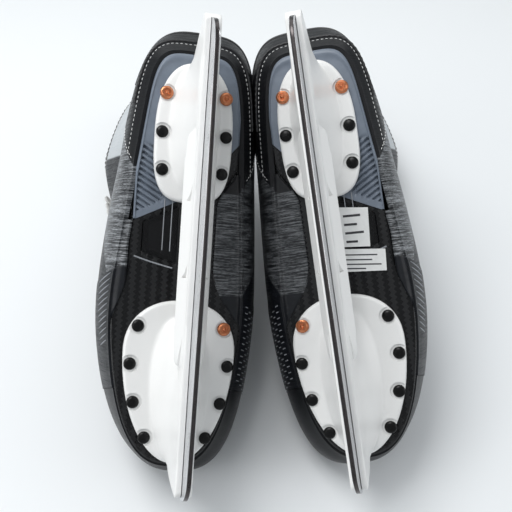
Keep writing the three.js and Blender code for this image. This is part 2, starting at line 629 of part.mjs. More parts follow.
// Tube through hand-placed points, one ring of sides at each.
function cordThrough(points, radius, sides = 6) {
  let normal = new THREE.Vector3(1, 0, 0);
  const rings = points.map((point, i) => {
    const before = points[Math.max(0, i - 1)];
    const after = points[Math.min(points.length - 1, i + 1)];
    const into = point.clone().sub(before).normalize();
    const out = after.clone().sub(point).normalize();
    const along = into.add(out).normalize();
    normal = normal.clone().addScaledVector(along, -normal.dot(along)).normalize();
    const across = along.clone().cross(normal);
    return Array.from({ length: sides }, (_, k) => {
      const a = 2 * Math.PI * k / sides;
      return point.clone().addScaledVector(normal, radius * Math.cos(a))
        .addScaledVector(across, radius * Math.sin(a));
    });
  });
  return loft(rings);
}

// ---- assembly -----------------------------------------------------------------------------------
const white = () => material('#f4f4f2', 0.3);
const carbon = () => material('#0d0e10', 0.4);
const rivetColours = { copper: () => material('#c4653a', 0.3, 0.9), black: () => material('#0a0a0b', 0.35, 0.6) };

const pieces = {
  boot_shell: [toGeometry(bootShell()), material('#4c5054', 0.55)],
  toe_cap: [toGeometry(toeCap()), material('#101216', 0.35)],
  ankle_liner: [toGeometry(ankleLiner()), material('#1c1d1f', 0.9)],
  tongue: [toGeometry(tongueBody()), material('#2a2b2d', 0.9)],
  tongue_flap: [toGeometry(tongueFlap()), material('#2a2b2d', 0.9)],
  tendon_guard: [toGeometry(tendonGuard()), material('#3b3e41', 0.5)],
  footbed: [toGeometry(insole()), material('#2f3236', 0.9)],
  lace: [toGeometry(cordThrough(lacePath(), lace.radius)), material('#ececea', 0.8)],
  outsole: [toGeometry(frontOutsole()), carbon()],
  heel_insert: [toGeometry(heelInsert()), material('#8c99a3', 0.4)],
  vent_panel: [toGeometry(ventPanel()), carbon()],
  blade_holder: [toGeometry(holder()), white()],
  steel_runner: [toGeometry(steelRunner()), material('#b9bcc0', 0.15, 1)],
};
for (const { name, y } of bladeBolts) pieces[`${name}_blade_bolt`] = [bladeBolt(y), material('#8b8d90', 0.35, 1)];

function skate(sideName) {
  const upright = new THREE.Group();
  const add = (name, geometry, look, place = [0, 0, 0]) => {
    const mesh = new THREE.Mesh(geometry, look);
    mesh.name = `${sideName}_${name}`;
    mesh.position.set(...place);
    upright.add(mesh);
  };
  for (const [name, [geometry, look]] of Object.entries(pieces)) add(name, geometry, look);
  for (const spot of rivetSpots) {
    const edge = spot.side > 0 ? 'outer' : 'inner';
    add(`${spot.area}_rivet_${edge}_${spot.number}`, rivetGeometry(), rivetColours[spot.colour](), [spot.x, spot.y, 0]);
  }
  upright.rotation.x = Math.PI; // sole up
  const lean = new THREE.Group();
  lean.add(upright);
  lean.rotation.set(0, radians(pair.roll), radians(pair.toeOut));
  return lean;
}

const rightSkate = skate('right');
const leftSkate = skate('left');

// Tilt at which the toe cap and the shaft touch the floor together.
function restingTilt() {
  rightSkate.rotation.x = 0;
  rightSkate.updateMatrixWorld(true);
  const points = [];
  rightSkate.traverse((mesh) => {
    if (!mesh.isMesh || !/boot_shell|toe_cap/.test(mesh.name)) return;
    const { position } = mesh.geometry.attributes;
    for (let i = 0; i < position.count; i++) {
      points.push(new THREE.Vector3().fromBufferAttribute(position, i).applyMatrix4(mesh.matrixWorld));
    }
  });
  let [flat, steep] = [0, Math.PI / 3];
  for (let i = 0; i < 30; i++) {
    const tilt = (flat + steep) / 2;
    const height = (p) => p.y * Math.sin(tilt) + p.z * Math.cos(tilt);
    const lowest = (half) => Math.min(...points.filter((p) => half * p.y > 0).map(height));
    if (lowest(-1) > lowest(1)) flat = tilt;
    else steep = tilt;
  }
  return flat;
}

rightSkate.rotation.x = restingTilt();
leftSkate.rotation.x = rightSkate.rotation.x;
rightSkate.position.x = pair.half;
leftSkate.position.x = pair.half;
const mirrored = new THREE.Group();
mirrored.scale.x = -1;
mirrored.add(leftSkate);

const skates = new THREE.Group();
skates.add(rightSkate, mirrored);
skates.updateMatrixWorld(true);
const bounds = new THREE.Box3().setFromObject(skates, true);
skates.position.set(0, -(bounds.min.y + bounds.max.y) / 2, -bounds.min.z);

export default skates;
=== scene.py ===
"""A pair of ice hockey skates lying face down: soles up, toes near, heels leaning together.

Each piece is worked out in millimetres in one skate's own frame, where x runs to the outer side, y to
the toe and z up into the boot from the sole, and is then placed twice, as the right skate and mirrored.
"""

import json
import math

import bmesh
import bpy
import numpy as np
from mathutils import Matrix


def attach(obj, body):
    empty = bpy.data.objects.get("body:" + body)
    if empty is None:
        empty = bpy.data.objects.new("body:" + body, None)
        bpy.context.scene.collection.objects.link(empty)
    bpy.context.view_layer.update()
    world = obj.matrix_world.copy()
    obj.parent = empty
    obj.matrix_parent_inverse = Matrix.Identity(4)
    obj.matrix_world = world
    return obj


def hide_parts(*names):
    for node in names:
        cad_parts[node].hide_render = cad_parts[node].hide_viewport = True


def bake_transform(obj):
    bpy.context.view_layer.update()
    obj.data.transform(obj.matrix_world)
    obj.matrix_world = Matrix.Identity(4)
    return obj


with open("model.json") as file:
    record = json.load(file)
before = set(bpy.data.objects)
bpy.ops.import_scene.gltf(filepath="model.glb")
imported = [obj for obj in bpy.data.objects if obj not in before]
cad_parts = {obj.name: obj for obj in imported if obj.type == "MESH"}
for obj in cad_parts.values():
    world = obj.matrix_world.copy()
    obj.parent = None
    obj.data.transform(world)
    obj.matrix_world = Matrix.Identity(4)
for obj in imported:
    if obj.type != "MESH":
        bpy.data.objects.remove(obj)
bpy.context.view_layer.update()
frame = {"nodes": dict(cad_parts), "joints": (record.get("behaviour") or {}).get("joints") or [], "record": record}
nodes = frame["nodes"]
MM = 0.001
SIDES = ("right", "left")

# ---- one skate's own frame ------------------------------------------------------------------------
BED = (0.0, 6.0, 11.4)  # the footbed mount in a skate's own frame
_bed = next(m for m in frame["record"]["mounts"] if m["name"] == "right_footbed_face")
_flex = next(j for j in frame["joints"] if j["name"] == "right_guard_flex")
AXIS_Z = np.array(_bed["axis"], float)
AXIS_X = np.array(_flex["axis"], float)
AXIS_Y = np.cross(AXIS_Z, AXIS_X)
AXES = np.stack([AXIS_X, AXIS_Y, AXIS_Z])
ORIGIN = np.array(_bed["pos_m"], float) - MM * (np.array(BED) @ AXES)


def to_row(points, side="right"):
    """Points of a skate's own frame in mm, placed in the row frame in metres; the left one is mirrored."""
    placed = ORIGIN + MM * (np.asarray(points, float) @ AXES)
    if side == "left":
        placed = placed * np.array([-1.0, 1.0, 1.0])
    return placed


# ---- the boot's surface ---------------------------------------------------------------------------
SOLE_HEEL, SOLE_TOE = -148.0, 138.0
HEEL_HALF, BALL_HALF, BALL_SHIFT, TOE_SHIFT = 34.0, 46.5, 3.5, 8.0
SHAFT = 175.0
FACING_FOOT, FACING_TOP = 92.0, -54.0
THROAT_HALF, THROAT_FLARE = 17.0, 8.0
CAP_SEAM, CAP_LEAN = 96.0, 20.0
HEEL_SQUARE, SHAFT_ROUND, TOE_ROUND = 5.0, 2.6, 2.6

# up, back, front, heel half width, ball half width, heel shift, ball shift, front slope in degrees
SECTIONS = np.array([
    [3.3, -150, 140, 36, 47.5, -0.5, 3.5, 90],
    [12, -158, 145, 42.5, 52.5, -1.5, 1.5, 90],
    [25, -167, 148, 46.5, 57.5, -3, -0.5, 90],
    [40, -173, 148, 47.5, 59, -4.5, -1.5, 80],
    [54, -175, 139, 46.5, 57, -5.5, -1.5, 52],
    [65, -175.5, 123, 45, 51, -6, -1.5, 30],
    [73, -175, 100, 43.5, 47, -6, -1, 26],
    [88, -172, 62, 41.5, 43.5, -6, -1, 31],
    [110, -166, 22, 39.5, 40.5, -6, -1.5, 34],
    [135, -160, -10, 39, 42, -5, 1.5, 40],
    [157, -157, -37, 40, 44.5, -3.5, 3, 44],
    [175, -156, -54, 39, 45, -3.5, 1.5, 42],
    [200, -154, -90, 34, 32.5, -4, -2, 34],
    [230, -151, -134, 28, 18.5, -4, -2, 34],
], float)
SECTION_SLOPES = np.gradient(SECTIONS, SECTIONS[:, 0], axis=0)


def smooth(value, low, high):
    """0 below low and 1 above high, with a smooth cubic between them."""
    t = np.clip((np.asarray(value, float) - low) / (high - low), 0, 1)
    return t * t * (3 - 2 * t)


def lerp(a, b, t):
    return a + (b - a) * t


def section_at(up):
    """The section's sizes at any height, on a cubic through the listed ones."""
    ups = SECTIONS[:, 0]
    up = np.clip(up, ups[0], ups[-1])
    i = np.clip(np.searchsorted(ups, up) - 1, 0, len(ups) - 2)
    span = ups[i + 1] - ups[i]
    t = (up - ups[i]) / span
    h00, h10 = 2 * t**3 - 3 * t**2 + 1, t**3 - 2 * t**2 + t
    h01, h11 = 3 * t**2 - 2 * t**3, t**3 - t**2
    values = (h00[..., None] * SECTIONS[i] + (h10 * span)[..., None] * SECTION_SLOPES[i]
              + h01[..., None] * SECTIONS[i + 1] + (h11 * span)[..., None] * SECTION_SLOPES[i + 1])
    return np.moveaxis(values[..., 1:], -1, 0)


def boot(up, theta):
    """Point of the boot at a height and a turn from the heel (0) by the outer side (pi/2) to the toe (pi).

    The outline is a superellipse in polar form: its radius is (|cos|^p + |sin|^p)^(-1/p), with a squarer
    power p at the heel's foot, stretched to the section's length and to a width that grows to the ball.
    """
    up, theta = np.broadcast_arrays(np.asarray(up, float), np.asarray(theta, float))
    back, front, heel, ball, heel_shift, ball_shift, _ = section_at(up)
    c, s = -np.cos(theta), np.sin(theta)
    rear = lerp(HEEL_SQUARE, SHAFT_ROUND, np.where(s > 0, smooth(up, 0, 45), smooth(up, 0, 110)))
    power = lerp(rear, TOE_ROUND, smooth(c, -0.35, 0.35))
    radius = (np.abs(c) ** power + np.abs(s) ** power) ** (-1 / power)
    along, across = c * radius, s * radius
    spread = smooth(along, -0.85, 0.4)
    skew = (TOE_SHIFT * smooth(up, -10, 25) * smooth(front, FACING_FOOT - 30, SOLE_TOE)
            * np.maximum(0, along) ** 3)
    x = lerp(heel_shift, ball_shift, spread) - skew + lerp(heel, ball, spread) * across
    y = (back + front) / 2 + (front - back) / 2 * along
    return np.stack([x, y, up + 0 * x], -1)


def unit(v):
    return v / (np.linalg.norm(v, axis=-1, keepdims=True) + 1e-12)


def boot_normal(up, theta):
    """Outward normal: the cross product of the steps round the boot and up it."""
    up, theta = np.broadcast_arrays(np.asarray(up, float), np.asarray(theta, float))
    around = boot(up, theta + 2e-3) - boot(up, theta - 2e-3)
    upward = boot(up + 0.6, theta) - boot(up - 0.6, theta)
    return unit(np.cross(around, upward))


def turn_where(up, sign, inside, low=0.0):
    """Turn at which inside(point) stops holding, found by halving, on the outer (1) or inner (-1) side."""
    lo, hi = np.full(np.shape(up), low), np.full(np.shape(up), math.pi)
    for _ in range(28):
        mid = (lo + hi) / 2
        held = inside(boot(up, sign * mid))
        lo, hi = np.where(held, mid, lo), np.where(held, hi, mid)
    return lo


def turn_at_y(up, y, sign):
    return turn_where(up, sign, lambda p: p[..., 1] <= y)


def throat_at(y):
    return np.interp(y, [FACING_TOP, FACING_FOOT], [THROAT_HALF + THROAT_FLARE, THROAT_HALF])


def cap_line(up):
    return CAP_SEAM - CAP_LEAN / 2 * (1 - np.clip(up / 60, 0, 1))


def quarter_limit(up, sign, set_back=0.0, open_half=0.0):
    """Turn where the quarters end: at the toe cap's seam, and above it at the edge of the throat."""
    front = turn_where(up, sign, lambda p: p[..., 1] <= cap_line(p[..., 2]) - set_back)

    def outside_throat(p):
        return (np.abs(p[..., 0]) >= throat_at(p[..., 1]) + open_half) | (p[..., 2] < 66)
    throat = turn_where(up, sign, outside_throat, math.pi / 2)
    return np.minimum(front, throat)


def collar(y):
    """Height of the collar's edge: it dips over the ankle and rises to the front corner."""
    return np.interp(y, [-190, -148, -130, -114, -100, -86, -64, -44],
                     [168, 167.4, 163, 160, 161.5, 166.5, 174.5, 177])


def quarter_turns(s, up, set_back=0.0, open_half=0.0):
    s, up = np.broadcast_arrays(s, up)
    outer, inner = (quarter_limit(up, k, set_back, open_half) for k in (1, -1))
    return np.where(s > 0, s * outer, s * inner)


# ---- meshes ---------------------------------------------------------------------------------------
def grid_faces(rows, cols, wrap=False, offset=0, flip=False):
    """Quads of a grid of rows by cols, with its last column joined to the first where it wraps."""
    last = cols if wrap else cols - 1
    r, c = np.meshgrid(np.arange(rows - 1), np.arange(last), indexing="ij")
    d = (c + 1) % cols
    quads = np.stack([r * cols + c, r * cols + d, (r + 1) * cols + d, (r + 1) * cols + c], -1)
    quads = quads.reshape(-1, 4) + offset
    return quads[:, ::-1] if flip else quads


def slab(outer, inner):
    """Closed wall between two grids of the same size, with rims along its open edges."""
    rows, cols = outer.shape[:2]
    count = rows * cols
    index = np.arange(count).reshape(rows, cols)
    edge = np.concatenate([index[0, ::-1], index[1:, 0], index[-1, 1:], index[-2:0:-1, -1]])
    following = np.roll(edge, -1)
    faces = [grid_faces(rows, cols), grid_faces(rows, cols, False, count, True),
             np.stack([edge, following, following + count, edge + count], -1)]
    return np.concatenate([outer.reshape(-1, 3), inner.reshape(-1, 3)]), np.concatenate(faces)


def tube(rings, closed=False):
    """Closed tube through rings of points, with its ends drawn together, or joined end to end."""
    rows, cols = rings.shape[:2]
    if closed:
        return rings.reshape(-1, 3), grid_faces(rows + 1, cols, True) % (rows * cols)
    middle = rings.mean(1, keepdims=True)
    ends = [np.repeat(middle[:1], cols, 1), np.repeat(middle[-1:], cols, 1)]
    rings = np.concatenate([ends[0], rings, ends[1]])
    return rings.reshape(-1, 3), grid_faces(rows + 2, cols, True)


def joined(parts):
    """Several (points, quads) as one."""
    points, faces, start = [], [], 0
    for p, f in parts:
        points.append(p)
        faces.append(f + start)
        start += len(p)
    return np.concatenate(points), np.concatenate(faces)


def piece(name, side, shape, finish, slot, body="skate", replaces=(), sharp=35):
    """One closed object of a skate, placed in the row frame, with its own frame's points kept as last."""
    points, faces = shape
    name = f"{side}_{name}"
    mesh = bpy.data.meshes.new(name)
    width = faces.shape[1]
    mesh.vertices.add(len(points))
    mesh.vertices.foreach_set("co", to_row(points, side).astype(np.float32).ravel())
    mesh.loops.add(faces.size)
    mesh.polygons.add(len(faces))
    mesh.polygons.foreach_set("loop_start", np.arange(0, faces.size, width, dtype=np.int32))
    mesh.loops.foreach_set("vertex_index", faces.astype(np.int32).ravel())
    mesh.update(calc_edges=True)
    last = mesh.attributes.new("last", "FLOAT_VECTOR", "POINT")
    last.data.foreach_set("vector", np.asarray(points, np.float32).ravel())
    build = bmesh.new()
    build.from_mesh(mesh)
    bmesh.ops.remove_doubles(build, verts=build.verts, dist=2e-6)
    bmesh.ops.dissolve_degenerate(build, edges=build.edges, dist=1e-7)
    bmesh.ops.recalc_face_normals(build, faces=build.faces)
    build.to_mesh(mesh)
    build.free()
    mesh.polygons.foreach_set("use_smooth", np.ones(len(mesh.polygons), bool))
    mesh.set_sharp_from_angle(angle=math.radians(sharp))
    made = bpy.data.objects.new(name, mesh)
    bpy.context.scene.collection.objects.link(made)
    mesh.materials.append(finish)
    if body:
        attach(made, f"{side}_{body}")
    if replaces:
        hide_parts(*(f"{side}_{node}" for node in replaces))
    return made


def both(name, shape, finish, slot, **rest):
    return [piece(name, side, shape, finish, slot, **rest) for side in SIDES]


# ---- lines on the boot ----------------------------------------------------------------------------
def even(points, step, *others):
    """The same line at even steps, with the other arrays carried along."""
    length = np.concatenate([[0], np.cumsum(np.linalg.norm(np.diff(points, axis=0), axis=1))])
    at = np.linspace(0, length[-1], max(3, int(round(length[-1] / step)) + 1))
    taken = [np.stack([np.interp(at, length, a[:, k]) for k in range(a.shape[1])], -1)
             for a in (points, *others)]
    return taken if others else taken[0]


def rings_along(points, normals, wide, thick, sides=10, twist=0.0, ridges=0, depth=0.0):
    """Ellipse carried along a line; its radius may swell in ridges that turn round it, as on a rope."""
    tangent = unit(np.gradient(points, axis=0))
    normal = unit(normals - (normals * tangent).sum(-1, keepdims=True) * tangent)
    across = np.cross(tangent, normal)
    length = np.concatenate([[0], np.cumsum(np.linalg.norm(np.diff(points, axis=0), axis=1))])
    a = np.linspace(0, 2 * math.pi, sides, endpoint=False)[None, :]
    swell = 1 + depth * np.cos(ridges * a - twist * length[:, None])
    wide, thick = np.broadcast_to(wide, len(points)), np.broadcast_to(thick, len(points))
    return (points[:, None] + (across[:, None] * (wide[:, None] * np.cos(a) * swell)[..., None]
            + normal[:, None] * (thick[:, None] * np.sin(a) * swell)[..., None]))


def rope(points, normals, radius, step=0.9):
    """Twisted piping laid along a line."""
    points, normals = even(points, step, points, normals)[1:]
    return tube(rings_along(points, normals, radius, radius, 10, 1.5, 2, 0.14))


def bead(points, normals, radius, step=2.0, sides=10):
    points, normals = even(points, step, points, normals)[1:]
    return tube(rings_along(points, normals, radius, radius, sides))


def stitches(points, normals, length=1.9, spacing=3.3, radius=0.27, sides=5):
    """Short rounded threads set end to end along a line, half sunk into the surface."""
    points, normals = even(points, spacing / 4, points, normals)[1:]
    fine = len(points)
    starts = np.arange(1, fine - 4, 4)
    shares = np.array([0.0, 0.25, 0.75, 1.0])
    sizes = np.array([0.35, 1.0, 1.0, 0.35])
    parts = []
    for k in starts:
        at = k + shares * length / spacing * 4
        spots = np.stack([np.interp(at, np.arange(fine), points[:, j]) for j in range(3)], -1)
        ups = np.stack([np.interp(at, np.arange(fine), normals[:, j]) for j in range(3)], -1)
        parts.append(tube(rings_along(spots, unit(ups), radius * sizes, radius * sizes, sides)))
    return joined(parts)


def on_boot(up, theta, lift):
    """Points of the boot lifted off it along its normals, and those normals."""
    normal = boot_normal(up, theta)
    return boot(up, theta) + normal * lift, normal


# ---- finishes -------------------------------------------------------------------------------------
class Wire:
    """An output socket; arithmetic on it adds Math nodes to its finish."""

    def __init__(self, finish, socket):
        self.finish, self.socket = finish, socket

    def math(self, operation, *others):
        return self.finish.node("ShaderNodeMath", {"operation": operation}, self, *others)

    def __add__(self, other):
        return self.math("ADD", other)

    def __sub__(self, other):
        return self.math("SUBTRACT", other)

    def __mul__(self, other):
        return self.math("MULTIPLY", other)

    def __truediv__(self, other):
        return self.math("DIVIDE", other)

    def __rsub__(self, other):
        return self.finish.node("ShaderNodeMath", {"operation": "SUBTRACT"}, other, self)

    __radd__, __rmul__ = __add__, __mul__

    def step(self, low, high):
        """0 below low and 1 above high, smooth between."""
        return self.finish.node("ShaderNodeMapRange", {"interpolation_type": "SMOOTHSTEP"},
                                self, low, high, 0.0, 1.0)


class Finish:
    """A material with one Principled shader, built from its constants and wires."""

    def __init__(self, name, color=(0.5, 0.5, 0.5), **values):
        self.material = bpy.data.materials.new(name)
        self.material.use_nodes = True
        self.tree = self.material.node_tree
        self.shader = next(n for n in self.tree.nodes if n.type == "BSDF_PRINCIPLED")
        self.shader.inputs["Base Color"].default_value = (*color, 1)
        self.material.diffuse_color = (*color, 1)
        for key, value in {"Specular_IOR_Level": 0.5, **values}.items():
            self.shader.inputs[key.replace("_", " ")].default_value = value

    def node(self, kind, settings=None, *inputs, out=0, **named):
        made = self.tree.nodes.new(kind)
        for key, value in (settings or {}).items():
            setattr(made, key, value)
        for key, value in [*enumerate(inputs), *((k.replace("_", " "), v) for k, v in named.items())]:
            if value is None:
                continue
            if isinstance(value, Wire):
                self.tree.links.new(value.socket, made.inputs[key])
            else:
                made.inputs[key].default_value = value
        return Wire(self, made.outputs[out])

    def last(self):
        """Points of the skate's own frame, in mm."""
        return self.node("ShaderNodeAttribute", {"attribute_name": "last"}, out=1)

    def split(self, vector):
        made = self.node("ShaderNodeSeparateXYZ", None, vector)
        outs = made.socket.node.outputs
        return [Wire(self, outs[k]) for k in range(3)]

    def stretched(self, vector, x, y, z):
        return self.node("ShaderNodeMapping", None, vector, Scale=(x, y, z))

    def noise(self, vector, scale=1.0, detail=3.0, rough=0.5):
        return self.node("ShaderNodeTexNoise", None, vector, Scale=scale, Detail=detail, Roughness=rough)

    def mix(self, share, a, b):
        made = self.tree.nodes.new("ShaderNodeMix")
        made.data_type = "RGBA"
        for index, value in ((0, share), (6, a), (7, b)):
            if isinstance(value, Wire):
                self.tree.links.new(value.socket, made.inputs[index])
            else:
                made.inputs[index].default_value = (*value, 1) if isinstance(value, tuple) else value
        return Wire(self, made.outputs[2])

    def set(self, socket, wire):
        self.tree.links.new(wire.socket, self.shader.inputs[socket])
        return self

    def bump(self, height, distance=0.0003, strength=1.0):
        normal = self.node("ShaderNodeBump", None, Height=height, Distance=distance, Strength=strength)
        return self.set("Normal", normal)


THREAD = (0.86, 0.87, 0.86)


def charcoal_band():
    f = Finish("charcoal_band", (0.03, 0.033, 0.036), Roughness=0.4, Specular_IOR_Level=0.3)
    p = f.last()
    f.set("Base Color", f.mix(f.noise(p, 0.08, 2), (0.022, 0.025, 0.027), (0.045, 0.050, 0.053)))
    return f.bump(f.noise(p, 2.5, 3), 0.00012, 0.4).material


def quarter_cloth():
    """Heathered laminate of light streaks on black, with a dark counter at the heel and a dark vamp."""
    f = Finish("quarter_cloth", (0.2, 0.2, 0.2), Roughness=0.5, Specular_IOR_Level=0.3)
    p = f.last()
    x, y, z = f.split(p)
    streak = f.noise(f.stretched(p, 0.055, 0.95, 0.055), 1.0, 4, 0.62)
    fine = f.noise(f.stretched(p, 0.4, 2.6, 0.4), 1.0, 3, 0.6)
    patch = f.noise(p, 0.045, 2)
    light = (streak * 0.65 + fine * 0.35).step(0.42, 0.66) * (0.45 + 0.9 * patch)
    outer = x.step(-4, 8)
    high = z.step(14, 80)
    tone = light * (0.42 + 0.58 * outer)
    heather = f.mix(tone, (0.008, 0.009, 0.011), (0.40, 0.42, 0.44))
    # Outer side lighter higher up: partly the cloth's own paler heather, partly painted light where the key lamp
    # falls on the upper walls.
    heather = f.mix(high * outer * 0.5, heather, (0.42, 0.45, 0.47))
    limit_outer = (-66.0 - y) * 0.85
    limit_inner = (-57.0 - y) * 0.8
    limit = limit_outer * outer + limit_inner * (1.0 - outer)
    counter = 1.0 - (z - 3.0 - limit).step(-0.4, 0.4)
    vamp = (y - 20.0 + outer * 16.0 - z * 0.3).step(-0.5, 0.5)
    dark = f.mix(f.noise(p, 0.2, 3), (0.003, 0.0035, 0.005), (0.010, 0.012, 0.016))
    black = f.mix(f.noise(p, 0.15, 3), (0.003, 0.003, 0.004), (0.011, 0.012, 0.014))
    ankle = z.step(112, 118) * (-88.0 - y).step(-1, 1) * (1.0 - z.step(156, 158))
    facing = (z + y * 0.9 - 20.0).step(0, 1.5) * (y + 88.0).step(-1, 1)
    rim = z.step(156, 158) * (-88.0 - y).step(-1, 1)
    heather = f.mix(ankle * outer, heather, (0.50, 0.53, 0.55))
    dark_zone = vamp.math("MAXIMUM", facing).math("MAXIMUM", rim)
    color = f.mix(counter, f.mix(dark_zone, heather, dark), black)
    f.set("Base Color", color)
    f.set("Roughness", 0.30 + 0.25 * light + 0.12 * fine)
    weave = streak * (1.0 - counter) * (1.0 - vamp * 0.6) + fine * 0.4
    return f.bump(weave, 0.0004, 0.5).material


def cap_plastic():
    f = Finish("cap_plastic", (0.006, 0.006, 0.008), Roughness=0.34, Specular_IOR_Level=0.28)
    p = f.last()
    scuff = f.noise(f.stretched(p, 0.15, 0.9, 0.15), 1.0, 5, 0.65)
    f.set("Base Color", f.mix(scuff.step(0.55, 0.75), (0.004, 0.0045, 0.006), (0.014, 0.015, 0.018)))
    f.set("Roughness", 0.24 + 0.3 * scuff)
    return f.bump(f.noise(p, 1.1, 4), 0.0002, 0.4).material


def carbon_twill():
    """Two by two twill: bands of tow at right angles, stepped by one at each row."""
    f = Finish("carbon_twill", (0.005, 0.005, 0.006), Roughness=0.35, Specular_IOR_Level=0.3)
    x, y, z = f.split(f.last())
    tow = 2.6
    u, v = (x + y) / (tow * 1.414), (x - y) / (tow * 1.414)
    cell = (u.math("FLOOR") + v.math("FLOOR")).math("MODULO", 4.0).math("ABSOLUTE")
    over = cell.step(1.4, 1.6)
    thread_u = (u * 6.2832 * 3).math("SINE") * 0.5 + 0.5
    thread_v = (v * 6.2832 * 3).math("SINE") * 0.5 + 0.5
    height = over * thread_u + (1.0 - over) * thread_v
    f.set("Base Color", f.mix(over * 0.7 + height * 0.3, (0.002, 0.002, 0.0025), (0.014, 0.0145, 0.0155)))
    f.set("Roughness", 0.24 + 0.2 * over)
    return f.bump(height * 0.5 + over * 0.5, 0.00015, 0.5).material


def insert_plastic():
    f = Finish("insert_plastic", (0.30, 0.355, 0.41), Roughness=0.42)
    p = f.last()
    worn = f.noise(p, 0.09, 4, 0.6)
    f.set("Base Color", f.mix(worn, (0.115, 0.140, 0.180), (0.205, 0.240, 0.290)))
    f.set("Roughness", 0.34 + 0.2 * worn)
    return f.bump(f.noise(p, 3.0, 3), 0.0001, 0.35).material


def holder_nylon():
    f = Finish("holder_nylon", (0.86, 0.86, 0.85), Roughness=0.3)
    p = f.last()
    flow = f.noise(f.stretched(p, 0.05, 0.012, 0.05), 1.0, 3)
    f.set("Base Color", f.mix(flow, (0.80, 0.80, 0.785), (0.88, 0.88, 0.87)))
    f.set("Roughness", 0.26 + 0.12 * f.noise(p, 0.3, 2))
    return f.bump(f.noise(p, 0.35, 1), 0.00005, 0.25).material


def runner_steel():
    """Mirror-polished sides with fine grinding lines; the ground edge along the bottom is painted dark, a painted
    reflection.
    """
    f = Finish("runner_steel", (0.62, 0.63, 0.65), Roughness=0.14, Metallic=1.0)
    p = f.last()
    x, y, z = f.split(p)
    lines = f.noise(f.stretched(p, 6.0, 0.02, 4.0), 1.0, 3)
    side = x.math("ABSOLUTE").step(1.25, 1.45)
    # Painted reflection: the bottom between the sides is painted dark for the black band that the hollow ground
    # edge reflects.
    edge = f.mix(lines, (0.05, 0.045, 0.045), (0.11, 0.10, 0.10))
    f.set("Base Color", f.mix(side, edge, (0.66, 0.67, 0.69)))
    f.set("Roughness", 0.10 + 0.16 * lines + 0.10 * (1.0 - side))
    return f.bump(lines, 0.00004, 0.5).material


def rivet_metal(name, dark, light, roughness):
    f = Finish(name, light, Roughness=roughness, Metallic=1.0)
    p = f.last()
    tone = f.noise(p, 0.6, 4)
    f.set("Base Color", f.mix(tone, dark, light))
    f.set("Roughness", roughness + 0.15 * f.noise(p, 2.0, 3))
    return f.bump(tone, 0.00008, 0.3).material


def black_rivet():
    f = Finish("black_rivet", (0.002, 0.002, 0.002), Roughness=0.3, Specular_IOR_Level=0.25)
    p = f.last()
    f.set("Roughness", 0.2 + 0.2 * f.noise(p, 1.2, 3))
    return f.bump(f.noise(p, 2.0, 2), 0.00006, 0.3).material


def cloth(name, dark, light, scale=1.3, roughness=0.9, sheen=0.25):
    """Woven or felted cloth: crossed fine waves under a soft mottle."""
    f = Finish(name, light, Roughness=roughness, Sheen_Weight=sheen, Sheen_Roughness=0.5)
    p = f.last()
    x, y, z = f.split(p)
    weave = ((y + z) * scale * 3.0).math("SINE") * ((y - z + x) * scale * 3.0).math("SINE")
    mottle = f.noise(p, 0.5, 4, 0.6)
    f.set("Base Color", f.mix(mottle * 0.7 + weave * 0.15 + 0.1, dark, light))
    return f.bump(weave * 0.5 + mottle, 0.0004, 0.6).material


def lace_cotton():
    f = Finish("lace_cotton", (0.80, 0.80, 0.78), Roughness=0.85, Sheen_Weight=0.2)
    p = f.last()
    x, y, z = f.split(p)
    braid = ((x + z) * 4.2).math("SINE") * ((x - z + y) * 4.2).math("SINE")
    f.set("Base Color", f.mix(braid * 0.5 + 0.5, (0.60, 0.60, 0.58), (0.88, 0.88, 0.86)))
    return f.bump(braid, 0.0003, 0.7).material


def cord_black():
    f = Finish("piping_black", (0.012, 0.012, 0.013), Roughness=0.45)
    p = f.last()
    f.set("Base Color", f.mix(f.noise(p, 0.8, 3), (0.007, 0.007, 0.008), (0.030, 0.031, 0.033)))
    return f.bump(f.noise(p, 3.0, 2), 0.0002, 0.5).material


def thread_white():
    f = Finish("thread_white", THREAD, Roughness=0.7)
    p = f.last()
    f.set("Base Color", f.mix(f.noise(p, 2.0, 2), (0.62, 0.63, 0.62), THREAD))
    return f.bump(f.noise(p, 5.0, 2), 0.0001, 0.5).material


CHARCOAL, QUARTER, CAP = charcoal_band(), quarter_cloth(), cap_plastic()
CARBON, INSERT, NYLON, STEEL = carbon_twill(), insert_plastic(), holder_nylon(), runner_steel()
COPPER = rivet_metal("copper", (0.42, 0.13, 0.055), (0.78, 0.33, 0.17), 0.26)
BLACK_RIVET, ZINC = black_rivet(), rivet_metal("zinc", (0.30, 0.31, 0.32), (0.50, 0.51, 0.53), 0.35)
FELT = cloth("tongue_felt", (0.008, 0.0085, 0.009), (0.030, 0.031, 0.033), 0.7)
LINING = cloth("brushed_lining", (0.006, 0.006, 0.007), (0.022, 0.023, 0.024), 1.6)
BED_CLOTH = cloth("footbed_cloth", (0.030, 0.032, 0.035), (0.085, 0.090, 0.095), 1.4)
LACE, PIPING, THREADS = lace_cotton(), cord_black(), thread_white()

# ---- boot shell -----------------------------------------------------------------------------------
WALL = 3.2
ACROSS, UPWARD = 181, 76


def collar_height(s, rounds=8):
    """Height of the collar at each share of the turn, found by taking the height at its own y."""
    up = np.full(np.shape(s), 168.0)
    for _ in range(rounds):
        theta = quarter_turns(s, up)
        up = collar(boot(up, theta)[..., 1])
    return up


def counter_limit(y, outer):
    """Height of the heel counter's upper edge: it falls in a straight line to the sole's edge."""
    return 3 + np.where(outer, (-66 - y) * 0.85, (-57 - y) * 0.8)


